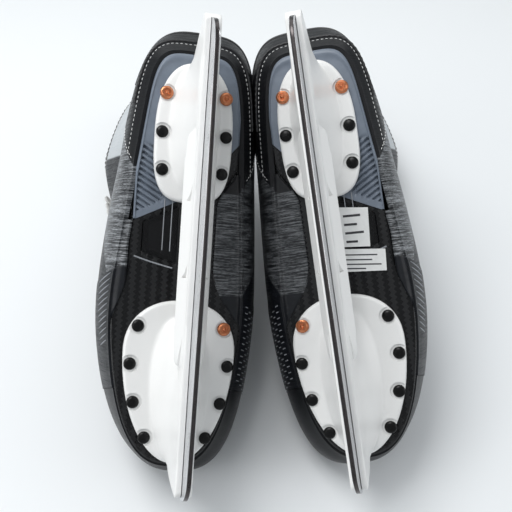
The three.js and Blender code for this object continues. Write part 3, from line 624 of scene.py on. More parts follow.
def relief(points, theta):
    """Raised areas of the shell in mm: the counter, the vamp, the ankle padding and the collar roll."""
    x, y, z = np.moveaxis(points, -1, 0)
    outer = theta > 0
    counter = 1 - smooth(z - counter_limit(y, outer), -0.8, 0.8)
    vamp = smooth(y - np.where(outer, 4, 20) - z * 0.3, -1.2, 1.2)
    ankle = np.exp(-((y + 104) / 20) ** 2 - ((z - 128) / 17) ** 2) * np.where(outer, 3.0, 3.4)
    ridge = np.exp(-((z - 27) / 3.0) ** 2) * smooth(-y, 60, 90) * 0.5
    return 0.7 * counter + 0.6 * vamp + ankle + ridge


def shell_grid(s, t, top, sunk=0.0):
    up = 3.0 + (top - 3.0) * t
    theta = quarter_turns(s, up)
    points, normal = boot(up, theta), boot_normal(up, theta)
    return points + normal * (relief(points, theta) * (sunk == 0) - sunk)[..., None], normal


def quarters():
    s = np.linspace(-1, 1, ACROSS)[None, :]
    t = (np.linspace(0, 1, UPWARD) ** 1.15)[:, None]
    top = collar_height(s)
    outer, _ = shell_grid(s, t, top)
    inner, _ = shell_grid(s, t, top, WALL)
    return slab(outer, inner)


def toe_cap():
    """The same surface in front of the seam, closed over the top where the instep starts."""
    t = np.linspace(0, 1, 44)[:, None]
    up = 3.0 + (74.6 - 3.0) * (1 - (1 - t) ** 1.25)
    outer, inner = (turn_where(up, k, lambda p: p[..., 1] <= cap_line(p[..., 2]) + 0.4) for k in (1, -1))
    share = np.linspace(0, 1, 73)[None, :]
    theta = lerp(outer, 2 * math.pi - inner, share)
    points, normal = boot(up, theta), boot_normal(up, theta)
    return slab(points + normal * 0.1, points - normal * WALL)


both("quarters", quarters(), QUARTER, "boot_shell", replaces=["boot_shell"])
both("toe_cap", toe_cap(), CAP, "toe_cap", replaces=["toe_cap"])

# ---- piping and stitching -------------------------------------------------------------------------
s_line = np.linspace(-1, 1, 321)
top_line = collar_height(s_line)
collar_theta = quarter_turns(s_line, top_line)
collar_points, collar_normals = on_boot(top_line, collar_theta, -WALL / 2)
side_up = np.linspace(74, top_line[-1] - 0.2, 60)


def facing_edge(sign, back=0.0, lift=0.0):
    theta = sign * quarter_limit(side_up, sign, 0, back)
    return on_boot(side_up, theta, lift)


outer_edge, outer_normals = facing_edge(1, 0, -WALL / 2)
inner_edge, inner_normals = facing_edge(-1, 0, -WALL / 2)
edge_path = np.concatenate([inner_edge, collar_points[2:-2], outer_edge[::-1]])
edge_normals = np.concatenate([inner_normals, collar_normals[2:-2], outer_normals[::-1]])
both("collar_piping", rope(edge_path, edge_normals, 1.9), PIPING, "boot_shell")


def round_heel(up_of, start_outer, start_inner, lift, count=260):
    """Line round the heel between two y stations, at the height that up_of gives for each turn."""
    ends = [turn_at_y(np.array([up_of(k * 1.2)]), start, k)[0]
            for k, start in ((1, start_outer), (-1, start_inner))]
    theta = np.linspace(-ends[1], ends[0], count)
    up = np.array([up_of(v) for v in theta])
    return on_boot(up, theta, lift)


both("heel_rope", rope(*round_heel(lambda v: 13.5, -112, -100, 0.9), 1.0), PIPING, "boot_shell")
both("heel_bead", bead(*round_heel(lambda v: 31.0, -128, -118, 0.7), 1.7), PIPING, "boot_shell")
thread_parts = [stitches(*round_heel(lambda v: 10.4, -74, -66, 0.75))]


def counter_edge(sign, inset):
    """Line just inside the counter's upper edge, from the sole's edge up to the rear."""
    up = np.linspace(5.5, 92, 120)
    slope, start = (0.85, -66) if sign > 0 else (0.8, -57)
    y = start - (up - 3) / slope - inset
    kept = y > section_at(up)[0] + 12
    up, y = up[kept], y[kept]
    return on_boot(up, sign * turn_at_y(up, y, sign), 0.95)


for sign in (1, -1):
    thread_parts.append(stitches(*counter_edge(sign, 2.4)))
    theta = sign * quarter_limit(side_up, sign, 0, 3.2)
    thread_parts.append(stitches(*on_boot(side_up, theta, 0.1)))
collar_inset = on_boot(top_line[12:-12] - 4.5, quarter_turns(s_line[12:-12], top_line[12:-12] - 4.5), 0.1)
thread_parts.append(stitches(*collar_inset))
both("stitching", joined(thread_parts), THREADS, "boot_shell", sharp=60)


def vamp_lines():
    """Slanted raised lines on the sides of the vamp: a few long ones outside, short rows inside."""
    parts = []
    for k in range(12):
        start = 14 + 4.2 * k
        reach = 15.0 - 0.5 * k
        up = np.linspace(6, 6 + reach * 1.25, 14)
        y = start + (up - 6) * 0.42 - 6
        theta = turn_at_y(up, y, 1)
        points, normals = on_boot(up, theta, 0.62)
        parts.append(tube(rings_along(points, normals, 0.5 * np.sin(np.linspace(0.3, 2.84, 14)), 0.3, 6)))
    for row in range(4):
        for k in range(13):
            up = np.linspace(0, 3.0, 4) + 7 + row * 5.2
            y = 27 + k * 4.4 + row * 2.2 + (up - 7) * 0.3
            points, normals = on_boot(up, -turn_at_y(up, y, -1), 0.62)
            parts.append(tube(rings_along(points, normals, 0.4, 0.25, 5)))
    return joined(parts)


PALE_LINE = cloth("vamp_thread", (0.18, 0.19, 0.21), (0.42, 0.44, 0.47), 1.0, 0.6, 0.1)
both("vamp_lines", vamp_lines(), PALE_LINE, "boot_shell", sharp=60)

# ---- soft parts -----------------------------------------------------------------------------------
def ankle_lining():
    """Padded lining: a layer inside the quarters whose upper edge rolls over in a half circle."""
    s = np.linspace(-1, 1, 141)[None, :]
    top = collar_height(s) - 1.5
    wall = np.linspace(0, 1, 30)
    turn = np.linspace(0, math.pi, 11)[1:-1]
    thick = 6.0 + 2.0 * np.exp(-(s / 0.55) ** 2)
    rows = []
    for t in wall:
        rows.append((14 + (top - 3 - 14) * t, np.full_like(s, WALL + 0.5)))
    for a in turn:
        rows.append((top - 3 + 3.2 * np.sin(a), WALL + 0.5 + thick / 2 * (1 - np.cos(a))))
    for t in wall[::-1]:
        rows.append((14 + (top - 3 - 14) * t, WALL + 0.5 + thick + 0 * s))
    grid = []
    for up, depth in rows:
        theta = quarter_turns(s, up, 6.0, 7.0)
        grid.append(boot(up, theta)[0] - boot_normal(up, theta)[0] * depth[0][:, None])
    rings = np.stack(grid, 1)
    return tube(rings)


def tongue():
    """Padded strip under the facing: crowned across, with a rounded top, thinner towards its edges."""
    up = np.linspace(72, 191, 70)[:, None]
    share = np.linspace(-1, 1, 41)[None, :]
    half = 28.5 * (1 - 0.22 * smooth(up, 168, 191) ** 2)
    ends = [turn_where(up, k, lambda p: np.abs(p[..., 0]) >= half, math.pi / 2) for k in (1, -1)]
    theta = lerp(ends[0], 2 * math.pi - ends[1], (share + 1) / 2)
    points, normal = boot(up, theta), boot_normal(up, theta)
    edge = np.sqrt(np.maximum(0, 1 - share**2)) ** 0.6
    closing = np.sqrt(np.clip((191 - up) / 5, 0, 1))
    ribs = 0.5 * np.cos(up * 0.42) * smooth(1 - np.abs(share), 0.1, 0.5)
    middle = WALL + 4.4 + 3.4
    outer = points - normal * (middle - (2.9 * edge * closing + ribs * closing))[..., None]
    inner = points - normal * (middle + 3.2 * edge * closing)[..., None]
    return slab(outer, inner)


def tendon_guard():
    """Curved shield above the heel: narrower and rounded towards its top, with a raised rim."""
    share = np.linspace(-1, 1, 61)[None, :]
    t = np.linspace(0, 1, 46)[:, None]
    up = 169.2 + (225 - 169.2) * t
    half = 24.0 * (1 - t**3.2) ** (1 / 2.4) * (1 - 0.12 * t) + 0.4
    near = [turn_where(up, k, lambda p: np.abs(p[..., 0]) <= half + 0 * up) for k in (1, -1)]
    theta = np.where(share > 0, share * near[0], share * near[1])
    points, normal = boot(up, theta), boot_normal(up, theta)
    rim = 0.5 * smooth(np.abs(share), 0.82, 0.9) + 0.5 * smooth(t, 0.88, 0.94)
    flutes = 0.45 * np.cos(share * 9.4) * smooth(t, 0.1, 0.3) * (1 - smooth(t, 0.75, 0.9))
    outer = points - normal * (0.7 - np.clip(rim, 0, 0.5) - flutes * 0.6)[..., None]
    return slab(outer, points - normal * 4.6)


for made in both("ankle_lining", ankle_lining(), LINING, "ankle_liner", replaces=["ankle_liner"]):
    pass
for side in SIDES:
    made = piece("tongue", side, tongue(), FELT, "tongue", body=None, replaces=["tongue", "tongue_flap"])
    start, end = to_row([(0, FACING_TOP - 4, 165), (0, FACING_TOP - 15, 174)], side)
    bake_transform(made)
both("tendon_guard", tendon_guard(), CHARCOAL, "tendon_guard", body="tendon_guard", replaces=["tendon_guard"])

# ---- sole -----------------------------------------------------------------------------------------
SEAM_OUTER, SEAM_VALLEY, SEAM_INNER = SOLE_HEEL + 118, SOLE_HEEL + 100, SOLE_HEEL + 58
SEAM_HALF = HEEL_HALF + 2


def seam_at(x):
    return np.interp(x, [-60, -SEAM_HALF, 0, SEAM_HALF, 60],
                     [SEAM_INNER, SEAM_INNER, SEAM_VALLEY, SEAM_OUTER, SEAM_OUTER])


def sole_edge(theta):
    """Outline of the sole: the boot's superellipse formula for the sole's own sizes."""
    c, s = -np.cos(theta), np.sin(theta)
    power = lerp(HEEL_SQUARE, TOE_ROUND, smooth(c, -0.35, 0.35))
    radius = (np.abs(c) ** power + np.abs(s) ** power) ** (-1 / power)
    along, across = c * radius, s * radius
    skew = TOE_SHIFT * smooth(0, -10, 25) * np.maximum(0, along) ** 3
    x = lerp(-0.5, BALL_SHIFT, smooth(along, -0.85, 0.4)) - skew \
        + lerp(HEEL_HALF, BALL_HALF, smooth(along, -0.85, 0.4)) * across
    return np.stack([x, (SOLE_HEEL + SOLE_TOE) / 2 + (SOLE_TOE - SOLE_HEEL) / 2 * along], -1)


def sole_turn(sign, behind):
    """Turn at which behind(x, y) stops holding on the sole's outline, on the outer (1) or inner (-1) side."""
    lo, hi = 0.0, math.pi
    for _ in range(40):
        mid = (lo + hi) / 2
        lo, hi = (mid, hi) if behind(*sole_edge(np.array(sign * mid))) else (lo, mid)
    return lo


TURN_OUTER, TURN_INNER = (sole_turn(k, lambda x, y: y < seam_at(x)) for k in (1, -1))


WAIST_INNER, WAIST_OUTER = 19.5, 40.0  # the outsole's reach to each side at the waist


def waist_edge(theta):
    """Outline of the outsole: the sole's, drawn in at the waist where the quarters wrap under it."""
    edge = sole_edge(theta)
    x, y = edge[..., 0], edge[..., 1]
    inner = -WAIST_INNER - 14 * smooth(-y, 42, 72) - 28 * smooth(y, 2, 62)
    outer = WAIST_OUTER + 10 * smooth(y, 10, 50) - 2 * smooth(-y, 10, 32)
    drawn = np.where(x < 0, np.maximum(x, inner), np.minimum(x, outer))
    return np.stack([np.where(np.abs(x) > 12, drawn, x), y], -1)


def sole_region(theta, core, rows):
    """Plan points of a fan from a core line to the outsole's outline, with each point's distance to it."""
    edge = waist_edge(theta)
    k = (1 - (1 - np.linspace(0, 1, rows)) ** 1.6)[:, None, None]
    plan = core[None] + (edge - core)[None] * k
    return plan, np.linalg.norm(edge[None] - plan, axis=-1)


def seam_core(theta, front):
    """Core line on the seam, moved off it by a small gap, running with the outline's turn."""
    off = 0.25 if front else -0.25
    if front:
        share = (theta - TURN_OUTER) / (2 * math.pi - TURN_INNER - TURN_OUTER)
        x0, x1 = waist_edge(np.array(TURN_OUTER))[0], waist_edge(np.array(-TURN_INNER))[0]
    else:
        share = (theta + TURN_INNER) / (TURN_OUTER + TURN_INNER)
        x0, x1 = waist_edge(np.array(-TURN_INNER))[0], waist_edge(np.array(TURN_OUTER))[0]
    x = lerp(x0, x1, share)
    return np.stack([x, seam_at(x) + off], -1)


def front_outsole():
    theta = np.linspace(TURN_OUTER, 2 * math.pi - TURN_INNER, 221)
    plan, away = sole_region(theta, seam_core(theta, True), 60)
    height = 0.1 + 0.55 * np.exp(-((away - 2.6) / 0.9) ** 2) - 1.0 * (1 - smooth(away, 0, 1.1))
    vent = vent_mask(plan[..., 0], plan[..., 1], 0.5)
    height = height - 1.1 * vent
    low = np.concatenate([plan, np.full(plan.shape[:2] + (1,), 2.9)], -1)
    return slab(np.concatenate([plan, -height[..., None]], -1), low)


def waist_wrap(sign):
    """Cloth of the quarters turned under the sole beside the drawn-in outsole, rounded at its outer edge."""
    y = np.linspace(-66, 58, 120) if sign < 0 else np.linspace(-29, 46, 80)
    turn = sign * np.array([sole_turn(sign, lambda _, at: at < v) for v in y])
    outer_x = sole_edge(turn)[:, 0]
    inner_x = waist_edge(turn)[:, 0] + sign * 0.25
    outer_x = np.where(sign * (outer_x - inner_x) < 0.3, inner_x + sign * 0.3, outer_x)
    share = np.linspace(0, 1, 24)[None, :]
    x = lerp(inner_x[:, None], outer_x[:, None], share)
    wide = np.abs(outer_x - inner_x)[:, None]
    rise = 0.9 * smooth(share * wide, 0, 1.4) - 2.3 * (1 - smooth(wide * (1 - share), 0, 5)) ** 2
    yy = np.broadcast_to(y[:, None], x.shape)
    return slab(np.stack([x, yy, -rise], -1), np.stack([x, yy, np.full_like(x, 2.9)], -1))


VENT_FRONT = -8.0


def vent_mask(x, y, soft):
    """1 over the vent panel, between its two sides, the seam and its front edge, with a soft border."""
    rear = seam_at(x) + 4
    front = VENT_FRONT + (31 - x) * 0.29
    return (smooth(x, 7 - soft, 7 + soft) * (1 - smooth(x, 31 - soft, 31 + soft))
            * smooth(y - rear, -soft, soft) * (1 - smooth(y - front, -soft, soft)))


def heel_insert():
    """Cup under the heel: a wide smooth rim, a floor a little lower, and ribs across its outer wing."""
    theta = np.linspace(-TURN_INNER, TURN_OUTER, 361)
    plan, away = sole_region(theta, seam_core(theta, False), 90)
    x, y = plan[..., 0], plan[..., 1]
    rim = 0.9 * np.exp(-((away - 3.4) / 2.4) ** 2) - 1.6 * (1 - smooth(away, 0, 1.6))
    slant = (y + 0.55 * x) / 4.1
    groove = smooth(np.cos(2 * math.pi * slant), 0.0, 0.6)
    wing = smooth(x, 17, 19) * smooth(y, -84, -80) * (1 - smooth(y - seam_at(x), -6, -5)) * smooth(away, 6, 7)
    notch = np.exp(-((x / 2.6) ** 4)) * (1 - smooth(y, -145.5, -144))
    height = 0.05 + rim - 1.5 * groove * wing - 1.2 * notch
    low = np.concatenate([plan, np.full(plan.shape[:2] + (1,), 2.9)], -1)
    return slab(np.concatenate([plan, -height[..., None]], -1), low)


def vent_panel():
    """Panel with a frame of fine slanted ridges, a smooth field and a strip with two raised lines."""
    share, t = np.meshgrid(np.linspace(0, 1, 110), np.linspace(0, 1, 150))
    x = lerp(7.2, 30.8, share)
    y = lerp(seam_at(x) + 4.3, VENT_FRONT + (31 - x) * 0.29 - 0.2, t)
    inside = np.minimum(np.minimum(x - 7.2, 30.8 - x), np.minimum(y - seam_at(x) - 4.3,
                        VENT_FRONT + (31 - x) * 0.29 - y))
    frame_band = 1 - smooth(inside, 3.2, 3.5)
    ridges = 0.22 * np.cos((x + y) * 2 * math.pi / 1.7)
    strip = smooth(x, 11, 11.3) * (1 - smooth(x, 17.5, 17.8)) * (1 - frame_band)
    height = 0.15 + frame_band * (0.25 + ridges) + strip * 0.2
    return slab(np.stack([x, y, -height], -1), np.stack([x, y, 0 * x + 1.1], -1))


def sole_line(x0, y0, x1, y1, width=0.5, high=0.3, bow=0.0, z=-0.45):
    """Raised line across the sole, bowed to one side."""
    t = np.linspace(0, 1, 24)
    x = lerp(x0, x1, t) + bow * np.sin(math.pi * t)
    y = lerp(y0, y1, t)
    points = np.stack([x, y, np.full_like(t, z)], -1)
    return tube(rings_along(points, np.broadcast_to([0, 0, -1.0], points.shape), width, high, 8))


VENT = Finish("vent_plastic", (0.004, 0.0042, 0.005), Roughness=0.4, Specular_IOR_Level=0.25)
VENT = VENT.set("Roughness", 0.3 + 0.25 * VENT.noise(VENT.last(), 0.8, 3)).bump(
    VENT.noise(VENT.last(), 2.2, 3), 0.00012, 0.4).material
both("outsole", front_outsole(), CARBON, "outsole", replaces=["outsole"])
both("heel_insert", heel_insert(), INSERT, "heel_insert", replaces=["heel_insert"])
both("waist_wrap", joined([waist_wrap(1), waist_wrap(-1)]), QUARTER, "boot_shell")
both("vent_panel", vent_panel(), VENT, "vent_panel", replaces=["vent_panel"])
pale_lines = joined([sole_line(11.6, -47, 11.6, -9, 0.35), sole_line(17.0, -45, 17.0, -9.5, 0.35),
                     sole_line(36, -4.5, 9, 2.5, 0.5, 0.3, 1.5, -0.15)])
both("sole_lines", pale_lines, PALE_LINE, "vent_panel", sharp=60)

# ---- blade holder ---------------------------------------------------------------------------------
GAP = 0.3
PAD_BOTTOM = -5.5
PAD_RIM = 2.4
HEEL_PAD = (-141.0, -90.0, -43.0, 27.5, 0.0, 2.4, 3.2)  # back, widest, front, half, shift, rounds
TOE_PAD = (24.5, 60.0, 137.0, 39.0, 0.8, 2.2, 1.95)
RAIL_HALF, RAIL_BRIDGE, RAIL_RISE = 5.6, 11.0, 14.0
HEEL_TIP, TOE_TIP = SOLE_HEEL - 16.5, SOLE_TOE + 12
STEEL_HALF, STEEL_SEAT, STEEL_END = 1.5, 9.0, 17.0
RIVETS = [  # y, half spacing and colour on the outer and the inner side
    (-118, 21, "cc"), (-91, 22.5, "bb"), (-65, 21, "bb"),
    (43, 30, "bc"), (69, 34, "bb"), (95, 30.4, "bb"), (119, 21.3, "bb")]
TOE_ROW_SHIFT = 0.7
RECESS, RIVET_HOLE = 6.2, 2.5
BOLTS = (SOLE_HEEL + 36, SOLE_TOE - 42)
TOWERS = [
    [(-47, -164.1, -118, -84, 6.4), (-32, -157.5, -110, -75, 8), (-17, -145, -101, -63, 12),
     (-5, -138, -94, -49, 18)],
    [(-46, 64, 102, 149, 5.4), (-25, 56, 96, 144, 9), (-14, 46, 86, 140, 14), (-5, 33.5, 76, 134, 21)]]
BRIDGE = [(-46.5, -88, -8, 66.5, 5.4), (-35, -88, -8, 66.5, RAIL_BRIDGE)]
POCKETS = [(-56, 15, 5.2, 6.2), (-4, 13, 5.2, 6.2), (46, 34, 12, 6.6)]  # y, length, rise, depth


def rail_z(y):
    return -49 + 0.01 * y


def edge_z(y):
    return -67.8 + 0.01 * y + y * y / 6000


def egg(back, widest, front, half, shift, back_round, front_round, count=72):
    """Egg outline of two superellipses that meet at its widest station."""
    a = np.linspace(0, 2 * math.pi, count, endpoint=False)
    along = -np.cos(a)
    power = np.where(along < 0, back_round, front_round)
    y = widest + along * np.where(along < 0, widest - back, front - widest)
    taper = np.maximum(0, 1 - np.abs(along) ** power) ** (1 / power)
    return np.stack([shift + np.sign(np.sin(a)) * half * taper, y], -1)


def egg_loft(levels, power=2.2, steps=28):
    """Loft through egg outlines at given heights, its sizes eased between the levels by a cubic."""
    levels = np.array(levels, float)
    slopes = np.gradient(levels, levels[:, 0], axis=0)
    rings = []
    for z in np.linspace(levels[0, 0], levels[-1, 0], steps):
        i = min(np.searchsorted(levels[:, 0], z, "right") - 1, len(levels) - 2)
        span = levels[i + 1, 0] - levels[i, 0]
        t = (z - levels[i, 0]) / span
        value = ((2 * t**3 - 3 * t**2 + 1) * levels[i] + (t**3 - 2 * t**2 + t) * span * slopes[i]
                 + (3 * t**2 - 2 * t**3) * levels[i + 1] + (t**3 - t**2) * span * slopes[i + 1])
        plan = egg(value[1], value[2], value[3], value[4], 0, power, power)
        rings.append(np.column_stack([plan, np.full(len(plan), z)]))
    return tube(np.array(rings))


def pad_plate(pad):
    """Flat plate whose lower rim is rounded by a quarter circle."""
    plan = egg(*pad, count=120)
    middle = np.array([pad[4], (pad[0] + pad[2]) / 2])
    out = unit(plan - middle)
    rings = [np.column_stack([plan - out * 0.2, np.full(len(plan), -GAP)])]
    for a in np.linspace(0, math.pi / 2, 7):
        rings.append(np.column_stack([plan - out * PAD_RIM * (1 - math.cos(a)),
                                      np.full(len(plan), PAD_BOTTOM + PAD_RIM - PAD_RIM * math.sin(a))]))
    return tube(np.array(rings))


def side_plate(outline, low, high):
    """Flat plate in a plane of constant x, from an outline of (y, z), convex or not."""
    outline = np.array(outline, float)
    mesh = bmesh.new()
    near = [mesh.verts.new((low, y, z)) for y, z in outline]
    far = [mesh.verts.new((high, y, z)) for y, z in outline]
    count = len(outline)
    for i in range(count):
        j = (i + 1) % count
        mesh.faces.new((near[i], near[j], far[j], far[i]))
    mesh.faces.new(near[::-1])
    mesh.faces.new(far)
    bmesh.ops.recalc_face_normals(mesh, faces=mesh.faces)
    bmesh.ops.triangulate(mesh, faces=mesh.faces)
    made = as_arrays(mesh)
    mesh.free()
    return made


def as_arrays(build):
    """Points and triangles of a triangulated bmesh."""
    mesh = bpy.data.meshes.new("arrays")
    build.to_mesh(mesh)
    points = np.empty(len(mesh.vertices) * 3)
    corners = np.empty(len(mesh.loops), np.int32)
    mesh.vertices.foreach_get("co", points)
    mesh.loops.foreach_get("vertex_index", corners)
    bpy.data.meshes.remove(mesh)
    return points.reshape(-1, 3), corners.reshape(-1, 3)


def curve(points, count=10):
    """Quadratic curve through its two ends, drawn towards the middle point."""
    a, b, c = (np.array(p, float) for p in points)
    t = np.linspace(0, 1, count)[:, None]
    return (1 - t) ** 2 * a + 2 * t * (1 - t) * b + t**2 * c


def rail_outline():
    def top(y):
        return rail_z(y) + RAIL_RISE
    heel, toe = HEEL_TIP, TOE_TIP
    parts = [
        [(heel + 5, rail_z(heel)), (toe - 4, rail_z(toe))],
        curve([(toe - 4, rail_z(toe)), (toe + 1, rail_z(toe) + 1), (toe - 1, rail_z(toe) + 7)]),
        curve([(toe - 1, rail_z(toe) + 7), (toe - 6, -12), (133, PAD_BOTTOM + 1)], 20),
        [(36.5, PAD_BOTTOM + 1)],
        curve([(36.5, PAD_BOTTOM + 1), (58.5, top(56) + 6), (38.5, top(40))], 20),
        [(-53, top(-52))],
        curve([(-53, top(-52)), (-77, top(-70) + 3), (-52, PAD_BOTTOM + 1)], 20),
        [(-136, PAD_BOTTOM + 1)],
        curve([(-136, PAD_BOTTOM + 1), (-145, -18), (heel + 1, rail_z(heel) + 9)], 20),
        curve([(heel + 1, rail_z(heel) + 9), (heel - 2, rail_z(heel) + 3), (heel + 5, rail_z(heel))])]
    outline = np.concatenate([np.array(p, float) for p in parts])
    kept = np.linalg.norm(outline - np.roll(outline, 1, 0), axis=1) > 0.01
    return outline[kept]


def steel_outline(grow=0.0, rows=150):
    """Bottom and top of the runner along y: a rocker with round ends, and a top that fits the rail."""
    low, high = HEEL_TIP + 4.5 - grow, TOE_TIP + 1 + grow
    y = lerp(low, high, (1 - np.cos(np.linspace(0, math.pi, rows))) / 2)
    into = np.maximum(0, np.maximum(STEEL_END - (y - low), STEEL_END - (high - y)))
    bottom = edge_z(y) + STEEL_END - np.sqrt(np.maximum(0, STEEL_END**2 - into**2)) - grow
    ends = np.maximum(rail_z(y), edge_z(y) + STEEL_END) + 1.5
    near = np.minimum(y - low, high - y)
    top = lerp(ends, rail_z(y) + STEEL_SEAT + grow, np.clip(near / 14, 0, 1))
    return y, bottom, np.maximum(top, bottom + 0.6)


def post(x, y, radius, low, high, count=40):
    a = np.linspace(0, 2 * math.pi, count, endpoint=False)
    ring = np.column_stack([x + radius * np.cos(a), y + radius * np.sin(a)])
    return tube(np.array([np.column_stack([ring, np.full(count, z)]) for z in (low, high)]))


def solid_object(shape):
    """Scratch object of the skate's own frame in mm, for modifiers."""
    points, faces = shape
    mesh = bpy.data.meshes.new("work")
    mesh.from_pydata(np.asarray(points).tolist(), [], [list(dict.fromkeys(map(int, f))) for f in faces])
    build = bmesh.new()
    build.from_mesh(mesh)
    bmesh.ops.remove_doubles(build, verts=build.verts, dist=1e-4)
    bmesh.ops.recalc_face_normals(build, faces=build.faces)
    build.to_mesh(mesh)
    build.free()
    made = bpy.data.objects.new("work", mesh)
    bpy.context.scene.collection.objects.link(made)
    return made


def finished(made):
    """Triangles of a scratch object after its modifiers; the object is then taken away."""
    result = made.evaluated_get(bpy.context.evaluated_depsgraph_get()).to_mesh()
    build = bmesh.new()
    build.from_mesh(result)
    bmesh.ops.triangulate(build, faces=build.faces)
    shape = as_arrays(build)
    build.free()
    mesh = made.data
    bpy.data.objects.remove(made)
    bpy.data.meshes.remove(mesh)
    return shape


def blade_holder():
    """Pads, towers and rail grown together by a fine remesh, then cut for steel, rivets and pockets."""
    body = joined([(p, f if f.shape[1] == 4 else np.column_stack([f, f[:, 2]])) for p, f in (
        pad_plate(HEEL_PAD), pad_plate(TOE_PAD), egg_loft(TOWERS[0]), egg_loft(TOWERS[1]),
        egg_loft(BRIDGE, 9, 14), side_plate(rail_outline(), -RAIL_HALF, RAIL_HALF))])
    made = solid_object(body)
    grow = made.modifiers.new("grow", "REMESH")
    grow.mode, grow.voxel_size = "VOXEL", 0.9
    ease = made.modifiers.new("ease", "SMOOTH")
    ease.factor, ease.iterations = 0.5, 7
    body = finished(made)
    height = body[0][:, 2]
    height[height > -0.75] = -GAP
    made = solid_object(body)
    cuts = []
    y, low, high = steel_outline(GAP)
    outline = np.concatenate([np.column_stack([y, low]), np.column_stack([y, high])[::-1]])
    cuts.append(side_plate(outline, -STEEL_HALF - GAP, STEEL_HALF + GAP))
    for y, half, _ in RIVETS:
        for side in (1, -1):
            x = side * half + (TOE_ROW_SHIFT if y > 0 else 0)
            cuts.append(post(x, y, RECESS, -14, PAD_BOTTOM + 1.2))
            cuts.append(post(x, y, RIVET_HOLE, -12, 3))
    for y, length, rise, depth in POCKETS:
        foot = lambda at: rail_z(at) + 4.5
        low_line = [(y, foot(y)), (y + length, foot(y + length))]
        rear = (y + length * 0.94, foot(y + length) + rise)
        bowed = curve([rear, ((y + rear[0]) / 2 + 3, (foot(y) + rear[1]) / 2 - 2.2), (y, foot(y))], 14)[:-1]
        for side in (1, -1):
            cuts.append(side_plate(low_line + [tuple(p) for p in bowed],
                                   *sorted((side * depth, side * 30))))
    for y in BOLTS:
        cuts.append(post(0, y, 4.6, -3.6, 2))
        cuts.append(post(0, y, 2.4, -30, 2))
    cutters = []
    for cut in cuts:
        cutter = solid_object(cut)
        cutters.append(cutter)
        step = made.modifiers.new("cut", "BOOLEAN")
        step.object, step.operation, step.solver = cutter, "DIFFERENCE", "EXACT"
    shape = finished(made)
    for cutter in cutters:
        mesh = cutter.data
        bpy.data.objects.remove(cutter)
        bpy.data.meshes.remove(mesh)
    return shape


both("blade_holder", blade_holder(), NYLON, "blade_holder", replaces=["blade_holder"])

# ---- steel, rivets --------------------------------------------------------------------------------
def steel_runner():
    """Runner with a hollow ground edge; across it the bottom is a shallow arc between two edges."""
    y, low, high = steel_outline()
    across = np.linspace(-1, 1, 9)
    rings = []
    for k in range(len(y)):
        hollow = 0.28 * (1 - across**2)
        bottom = np.column_stack([STEEL_HALF * across, np.full(9, y[k]), low[k] + hollow])
        levels = np.linspace(low[k], high[k], 12)[1:]
        right = np.column_stack([np.full(11, STEEL_HALF), np.full(11, y[k]), levels])
        left = np.column_stack([np.full(11, -STEEL_HALF), np.full(11, y[k]), levels[::-1]])
        rings.append(np.concatenate([bottom, right, left]))
    return tube(np.array(rings))


def lathe(profile, x, y, count=40):
    """Turned solid about an axis along z, from (radius, z) pairs that start and end on the axis."""
    a = np.linspace(0, 2 * math.pi, count, endpoint=False)
    rings = [np.column_stack([x + r * np.cos(a), y + r * np.sin(a), np.full(count, z)]) for r, z in profile]
    points = np.concatenate(rings)
    return points, grid_faces(len(profile), count, True)


SEAT = PAD_BOTTOM + 0.7
DOME = [(4.3 * math.sin(a) ** 0.8, SEAT - 1.9 * math.cos(a)) for a in np.linspace(0.05, math.pi / 2, 14)]
HEAD = [(1e-4, SEAT - 1.95)] + DOME
SHANK = [(2.2, SEAT), (2.2, 5.8), (3.8, 5.8), (3.5, 6.6), (2.6, 7.1), (1e-4, 7.1)]
RINGED = [(1e-4, SEAT - 3.3), (0.5, SEAT - 3.1), (1.2, SEAT - 2.2), (1.5, SEAT - 1.7), (2.2, SEAT - 1.7),
          (2.5, SEAT - 2.2), (3.2, SEAT - 2.2), (3.6, SEAT - 1.6), (4.3, SEAT - 1.3), (4.7, SEAT - 0.6),
          (4.7, SEAT)]
for area, rows in (("heel", RIVETS[:3]), ("toe", RIVETS[3:])):
    for number, (y, half, colours) in enumerate(rows, 1):
        for way, sign, colour in (("outer", 1, colours[0]), ("inner", -1, colours[1])):
            name = f"{area}_rivet_{way}_{number}"
            profile, metal, kind = (HEAD, BLACK_RIVET, "black")
            if colour == "c":
                profile, metal, kind = (RINGED, COPPER, "copper")
            shape = lathe(profile + SHANK, sign * half + (TOE_ROW_SHIFT if y > 0 else 0), y)
            both(name + "_look", shape, metal, kind + "_rivet", replaces=[name])
both("steel_runner", steel_runner(), STEEL, "steel_runner", replaces=["steel_runner"])

# ---- lace, eyelets --------------------------------------------------------------------------------
HOLES, FIRST_ROW, LAST_ROW, HOLE_EDGE = 8, 84.0, SHAFT - 15, 7.0
UNDER, OVER = -(3.4 + 2.1), 2.6


def facing_point(x, up, lift):
    """Point over the throat at a height and side position: the boot's front wall, lifted off it."""
    up = np.asarray(up, float)
    sign = 1.0 if x >= 0 else -1.0
    theta = sign * turn_where(up, sign, lambda p: p[..., 0] * sign >= abs(x), math.pi / 2)
    return boot(up, theta) + boot_normal(up, theta) * lift


def hole_x(up):
    y = facing_point(THROAT_HALF, up, 0)[1]
    return np.interp(y, [FACING_TOP, FACING_FOOT], [THROAT_HALF + THROAT_FLARE, THROAT_HALF]) + HOLE_EDGE


LACE_ROWS = [lerp(FIRST_ROW, LAST_ROW, i / (HOLES - 1)) for i in range(HOLES)]


